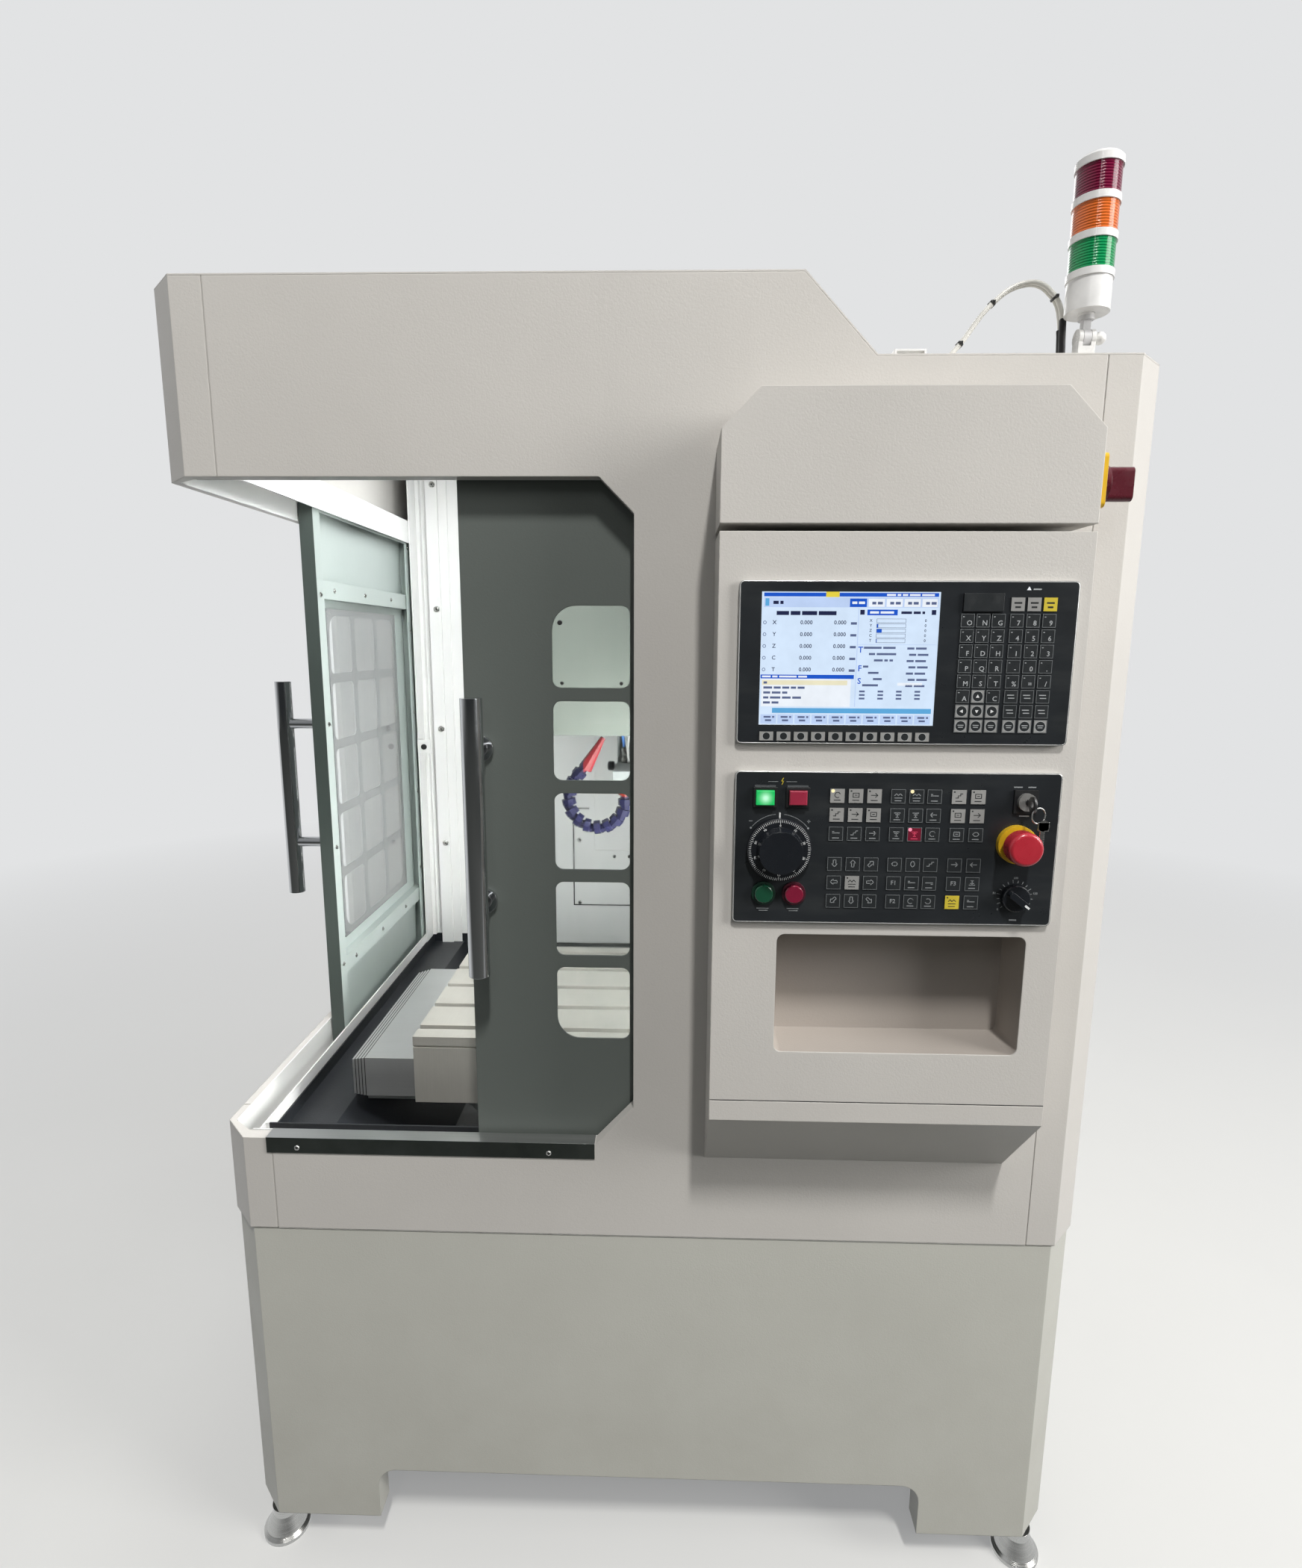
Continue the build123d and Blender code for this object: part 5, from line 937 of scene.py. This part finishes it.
P_PALE, P_GREY, P_YELLOW, P_DARK, P_AMBER, P_RED, P_RIM, P_LIT, P_PINK = range(9)
grounds = (None, P_GREY, P_YELLOW, None)
inks = (P_PALE, P_DARK, P_DARK, P_PINK)
p = Form()
for row, (z, line) in enumerate(zip(panel_z, plan)):
    for x, cell in zip(panel_x, line.split(", ")):
        sign, ground, quarter = (cell.split() + ["0", "0"])[:3]
        ground = int(ground)
        if grounds[ground]:
            p.use(grounds[ground]).patch(x - 8.8, z - 8.8, x + 8.8, z + 8.8, KEY_Y)
            p.use(P_DARK).patch(x - 6.9, z + 5.2, x - 4.9, z + 7.0, KEY_Y - 0.02)
        else:
            p.use(P_RIM).rim(x - 8.8, z - 8.8, x + 8.8, z + 8.8, KEY_Y, 0.6)
            if ground:
                p.use(P_LIT).patch(x - 8.0, z - 8.0, x + 8.0, z + 8.0, KEY_Y)
        p.use(inks[ground])
        if sign in signs:
            angle = float(quarter) * math.pi / 2
            cos, sin = math.cos(angle), math.sin(angle)
            for points in signs[sign]:
                turned = [(x + a * cos - b * sin, z + 1.0 + a * sin + b * cos) for a, b in points]
                p.stroke(turned, 0.95, KEY_Y - 0.03)
        else:
            p.sign(letters(sign, 7.6), x, z + 0.4, KEY_Y - 0.03)
        if row != ARROW_ROW and sign not in ("open", "F1", "F2", "F3"):
            p.patch(x - 4.4, z - 6.0, x + 4.0, z - 4.9, KEY_Y - 0.03)
for colour, column, row in ((P_AMBER, 0, 0), (P_AMBER, 4, 0), (P_RED, 4, 2)):
    p.use(colour).dot(panel_x[column] - 5.6, panel_z[row] + 6.2, 2.3, KEY_Y - 0.06, 14)
parts = [line_grey, grey_field, yellow_field, key_dark, amber_glow, red_glow, line_dim, lit_red, lit_pink]
p.done("operator_print", "frame", parts)

# Bright rolled edges round both plates
for name, low, high in (("display_rim", 1381, 1576), ("operator_rim", 1152, 1347)):
    r = Form()
    corners = ((503, high - 6, 0.0), (115, high - 6, 0.5), (115, low + 6, 1.0), (503, low + 6, 1.5))
    loops = []
    for inset, y in ((-0.05, -108.2), (-0.05, -112.3), (0.45, -113.1), (1.35, -113.14), (1.5, -113.02)):
        loop = []
        for cx, cz, start in corners:
            for step in range(7):
                x, z = polar(cx, cz, 6 - inset, math.pi * (start + step / 12))
                loop.append((x, y, z))
        loops.append(loop)
    r.rings(loops, caps=(False, False))
    r.done(name, "frame", [rim_steel])
# Painted shade: a thin near-black strip along the seam on the console's front, standing in for the shade in
# the groove
blocks("console_seam_shade", rubber, [((85, -106.5, 900.05), (525.5, -105.9, 901.45), 0)])

# Printed dials round the switches
wheel_x, wheel_z = 165.5, 1248.5
dial_x, dial_z = 462.2, 1189.3
lock_x, lock_z = 465.7, 1311.8
d = Form()
for side in (1, -1):
    start = math.pi / 2 - side * 0.12
    points = [polar(wheel_x, wheel_z, 44.5, start - side * 0.75 * step / 9) for step in range(10)]
    d.stroke(points, 0.6, FACE_Y)
    end_x, end_z = points[-1]
    d.dot(end_x + side * 1.6, end_z - 2.0, 1.3, FACE_Y, 10)
for x0, z0, x1, z1 in ((34, 35.5, 38, 35.5), (36, 33.5, 36, 37.5), (-38, 35.5, -34, 35.5)):
    d.stroke([(wheel_x + x0, wheel_z + z0), (wheel_x + x1, wheel_z + z1)], 0.7, FACE_Y)
d.use(1).patch(wheel_x - 0.9, wheel_z + 38.5, wheel_x + 0.9, wheel_z + 46.5, FACE_Y - 0.1)
d.use(0)
for count in range(16):
    angle = math.radians(-130 + 260 * count / 15) + math.pi / 2
    outer = 21.6 if count % 2 else 22.6
    d.stroke([polar(dial_x, dial_z, 18.8, angle), polar(dial_x, dial_z, outer, angle)], 0.8, FACE_Y)
for text, turn in (("0", 130), ("50", 78), ("100", 0), ("150", -78)):
    angle = math.radians(turn) + math.pi / 2
    d.sign(letters(text, 3.8), dial_x + 26.0 * math.cos(angle), dial_z + 25.0 * math.sin(angle), FACE_Y)
d.patch(dial_x - 4.6, 1158.6, dial_x + 4.6, 1160.4, FACE_Y)
for x0, x1, low, high in ((-15, -4.5, 17.2, 18.6), (2.5, 12, 17.2, 18.6), (-6, 6, -19.0, -17.4)):
    d.patch(lock_x + x0, lock_z + low, lock_x + x1, lock_z + high, FACE_Y)
for x in (147.6, 185.7):
    d.patch(x - 8, 1170.2, x + 7, 1171.4, FACE_Y)
    d.patch(x - 5, 1167.4, x + 6, 1168.6, FACE_Y)
d.use(2).stroke([(168.6, 1338.5), (166.4, 1334.6), (168.8, 1334.6), (166.8, 1330.4)], 0.9, FACE_Y)
d.use(0).stroke([(150, 1334), (162, 1334)], 0.5, FACE_Y)
d.stroke([(172.5, 1334), (185, 1334)], 0.5, FACE_Y)
for x in (146.4, 186.7):
    d.use(3).rim(x - 13.2, 1303.4, x + 13.2, 1326.4, FACE_Y, 0.7)
    d.rim(x - 12.6, 1327.4, x + 12.6, 1329.4, FACE_Y, 0.6)
d.done("panel_print", "frame", [line_grey, line_white, yellow_field, line_dim])

w = Form()
cos, sin = math.cos(math.radians(-38)), math.sin(math.radians(-38))
mark = ((8.5, -1.3), (15.4, -1.3), (15.4, 1.3), (8.5, 1.3))
w.face([(dial_x + a * cos - b * sin, -130.55, dial_z + a * sin + b * cos) for a, b in mark])
w.done("override_mark", "override", [line_white])

# Handwheel ring: a hundred ticks, a number at each tenth
WHEEL_Y = -121.55
w = Form()
for count in range(100):
    angle = math.pi / 2 + TURN * count / 100
    inner = 35.6 if count % 10 else 34.2
    w.stroke([polar(wheel_x, wheel_z, inner, angle), polar(wheel_x, wheel_z, 38.4, angle)], 0.6, WHEEL_Y)
for count in range(10):
    angle = math.pi / 2 - TURN * count / 10
    place = polar(wheel_x, wheel_z, 31.4, angle)
    w.sign(letters(str(count * 10), 4.0), *place, WHEEL_Y, angle - math.pi / 2)
w.done("handwheel_scale", "handwheel", [line_white])

# Fasteners, each seated on the sheet that carries it
METALS = [steel, dark_socket_shade_and_domes]
FRONT, REAR, RIGHT, UP = (0, -1, 0), (0, 1, 0), (1, 0, 0), (0, 0, 1)
b = Form()
for z in (1884, 1584, 1281, 978, 676):
    b.turned((-567, 973.6, z), FRONT, [(7.5, 0), (7.5, 1.2), (4.6, 1.6)], 18, (False, False))
    b.screw((-567, 972.2, z), FRONT, 5.0)
for x, z in ((-213, 988), (-213, 816), (-120, 944), (-80, 944), (80, 944), (213, 988), (213, 816)):
    b.screw((x, 985.2, z), FRONT, 5.0)
b.done("liner_bolts", "frame", METALS)

b = Form()
for x in (-532, -149):
    b.screw((x, -1.9, 746), FRONT, 4.2)
b.done("trim_screws", "frame", METALS)

b = Form()
for z in (1109, 1348, 870, 1587):
    b.screw((-619, 410, z), RIGHT, 4.4)
for z in (728, 928, 1128, 1328, 1528, 1728):
    b.screw((-619, 919, z), RIGHT, 4.4)
for y in (484, 642, 803):
    for z in (859, 1598):
        b.screw((-623.5, y, z), RIGHT, 4.6)
b.done("side_door_screws", "side_door", METALS)

b = Form()
for z in (859, 1598):
    for x in (-190, -40, 110, 260):
        b.screw((x, 50.5, z), REAR, 4.6)
b.use(1)
for x, z, radius in ((-126, 1529, 3.4), (-124, 1446, 2.6), (-41, 1446, 2.6)):
    b.turned((x, 32.6, z), FRONT, [(radius, 0), (radius, 1.2), (radius * 0.7, 2.0)], 14)
b.done("front_door_screws", "front_door", METALS)

# Folded edges seen in the seams of the front and along the belt; the strip along the belt is painted paler
# than the enclosure, a painted highlight on its fold
b = Form()
for x, top in ((-571.75, 759), (571.75, 1861)):
    b.slab((x - 0.62, 0.6, 609), (x + 0.62, 3.2, top))
b.slab((-572.37, 0.6, 1716), (-571.13, 3.2, 1959))
b.use(1).slab((-571, 0.5, 606.6), (571, 3.0, 607.9))
b.done("seam_folds", "frame", [white, belt_highlight_paint])

# Bolted cover strips on the liner's left rear corner, and the stop buffer
corner_strips = [
    ((-586, 973.6, 640), (-556, 985, 1905), 1.2),
    ((-556, 979.5, 640), (-534, 985, 1905), 1.0),
    ((-609, 967, 726), (-600, 985, 1905), 1.0),
]
blocks("corner_strips", inner_white, corner_strips)

b = Form()
b.slab((-611.5, 912.4, 1226), (-579, 914.9, 1260), 0.8)
b.slab((-609, 914.9, 1226), (-606.5, 944, 1260), 0.8)
b.use(1).turned((-595, 912.4, 1242), FRONT, [(7.0, 0), (7.0, 3), (5.8, 4.6), (2.4, 5.0)], 20)
b.done("stop_buffer", "frame", [inner_white, rubber])

# Wiper lips where the nested way cover plates end
b = Form()
for side, end in ((-1, 514), (1, 504)):
    for plate in range(4):
        x = side * (end - (4 - plate) * 6)
        inset = 1.5 * plate
        low, high = sorted((x, x + side * 1.6))
        b.slab((low, 169 + inset + 0.2, 732), (high, 170.4 + inset, 800.6 - inset))
        b.slab((low, 169 + inset + 0.2, 799.4 - inset), (high, 554.8 - inset, 800.7 - inset))
b.done("cover_wipers", "saddle", [rubber])

# Seams of the bolted rear plate, drawn as thin near-black strips: a painted shade of the gaps
seams = (
    (-229.5, 808, -226.5, 1075),
    (226.5, 808, 229.5, 1075),
    (-229.5, 1072, -186, 1075),
    (186, 1072, 229.5, 1075),
    (-229.5, 808, 229.5, 811),
)
rear_seam_shades = [((x0, 984.2, z0), (x1, 985.1, z1), 0) for x0, z0, x1, z1 in seams]
blocks("rear_plate_seam_shade", rubber, rear_seam_shades)

# Roof: bolts, a small frame, cable ties and black sleeves
b = Form()
for x in (-536, -217, 103):
    b.turned((x, 42, 1960), UP, [(8, 0), (8, 1.5), (5.5, 1.6), (5.5, 6.0), (4.8, 7.0)], 18)
for x in (304, 480):
    b.turned((x, 42, 1862), UP, [(8, 0), (8, 1.5), (4.2, 1.6), (4.2, 10.0), (3.6, 11.0)], 18)
b.done("roof_bolts", "frame", [steel])

roof_frame = [
    ((312, 26, 1862), (315, 44, 1876), 0.5),
    ((350, 26, 1862), (353, 44, 1876), 0.5),
    ((315, 26, 1873.5), (350, 44, 1876), 0.5),
]
blocks("roof_frame", white_plastic, roof_frame)
LEAD_HALF, STRAP_HALF = 3.5, 1.6


def strap(form, centre, along):
    """A flat strap round two leads that lie side by side in Y."""
    along = Vector(along).normalized()
    side = Vector((0, 1, 0))
    up = along.cross(side)
    loops = []
    for shift, grow in ((-STRAP_HALF, 0.0), (-STRAP_HALF, 0.7), (STRAP_HALF, 0.7), (STRAP_HALF, 0.0)):
        loop = []
        for step in range(28):
            cos, sin = math.cos(TURN * step / 28), math.sin(TURN * step / 28)
            flat = LEAD_HALF if cos > 0 else -LEAD_HALF
            point = Vector(centre) + along * shift
            point = point + side * (flat + (LEAD_HALF + grow) * cos) + up * ((LEAD_HALF + grow) * sin)
            loop.append(tuple(point))
        loops.append(loop)
    form.rings(loops, caps=(False, False))


b = Form()
ties = (
    ((419.5, 106, 1907.3), (0.65, 0, 0.76)),
    ((459.5, 106, 1958.5), (0.70, 0, 0.71)),
    ((543.5, 106, 1965.5), (0.61, 0, -0.79)),
)
for centre, along in ties:
    strap(b, centre, along)
    x, y, z = centre
    b.slab((x - 2, y - 10.5, z - 2), (x + 2, y - 7.0, z + 2), 0.6)
b.done("cable_ties", "frame", [tie_black])


def tube(form, points, radius, segments=14, caps=(True, True)):
    """A round tube along points in machine millimetres."""
    loops = []
    for index, point in enumerate(points):
        before = Vector(points[max(0, index - 1)])
        after = Vector(points[min(len(points) - 1, index + 1)])
        along = (after - before).normalized()
        across = along.cross(Vector((0, 1, 0.05))).normalized()
        up = along.cross(across)
        loops.append([tuple(Vector(point) + spoke * radius) for spoke in spokes(across, up, segments)])
    form.rings(loops, caps=caps)


b = Form()
for y, top in ((102.5, 1938), (109.5, 1926)):
    tube(b, [(555.6, y, top), (556.4, y, 1918), (557.4, y, 1900), (558, y, 1880), (558, y, 1862.5)], 4.5)
b.done("cable_sleeves", "frame", [rubber])

# Valve knob and thin air lines beside the head
b = Form()
b.turned((-77, 500, 1260), (-1, 0, 0), [(5, 0), (5, 7)], 18, (False, False))
b.use(1).turned((-84, 500, 1260), (-1, 0, 0), [(8.5, 0), (9.6, 2), (9.6, 10), (8.2, 13), (3, 14)], 20)
b.use(0).turned((-62, 470, 1271), UP, [(7, 0), (7, 9), (5, 10), (5, 22), (6.5, 23), (6.5, 30)], 6)
b.turned((-46, 470, 1271), UP, [(6, 0), (6, 8), (4.4, 9), (4.4, 18)], 6)
tube(b.use(2), [(-62, 470, 1300), (-66, 472, 1325), (-80, 474, 1350), (-92, 480, 1380)], 3.0, 12)
tube(b.use(3), [(-46, 470, 1288), (-50, 470, 1315), (-66, 470, 1345), (-84, 474, 1384)], 3.0, 12)
tube(b, [(-54, 462, 1272), (-56, 460, 1300), (-52, 462, 1345), (-60, 470, 1390)], 2.4, 12)
line_blue = plastic("air_line_blue", (70, 110, 170), 0.3, 0.05, 900, coat=0.3)
b.done("head_fittings", "head", [steel, knob_dark, line_blue, white_plastic])

# Spare key on a wire ring in the key's bow
b = Form()
RING_RADIUS = 9.5
ring_centre = Vector((471.5, -139.5, 1299.5))
ring_across = Vector((0.5, 0.15, 0)).normalized()
wire = []
for step in range(29):
    across, rise = polar(0, 0, RING_RADIUS, TURN * step / 28)
    wire.append(tuple(ring_centre + ring_across * across + Vector((0, 0, rise))))
tube(b, wire, 0.8, 8, (False, False))
bow = [polar(0, 0, 7, step / 8 * math.pi) for step in range(16)]
b.sign((bow, [tuple(range(16))]), 478.0, 1287.5, -141.4)
b.slab((474.0, -141.4, 1262.5), (479.5, -139.6, 1283), 0.4)
b.slab((471.5, -141.4, 1281), (484.5, -139.6, 1292), 0.6)
b.done("spare_key", "switch_key", [steel])

# Lamp strip under the roof light
blocks("lamp_strip", lamp_glow, [((-494, 94, 1927.2), (-106, 126, 1929.6), 0.8)])

# Plain Standard view transform
bpy.context.scene.view_settings.view_transform = "Standard"
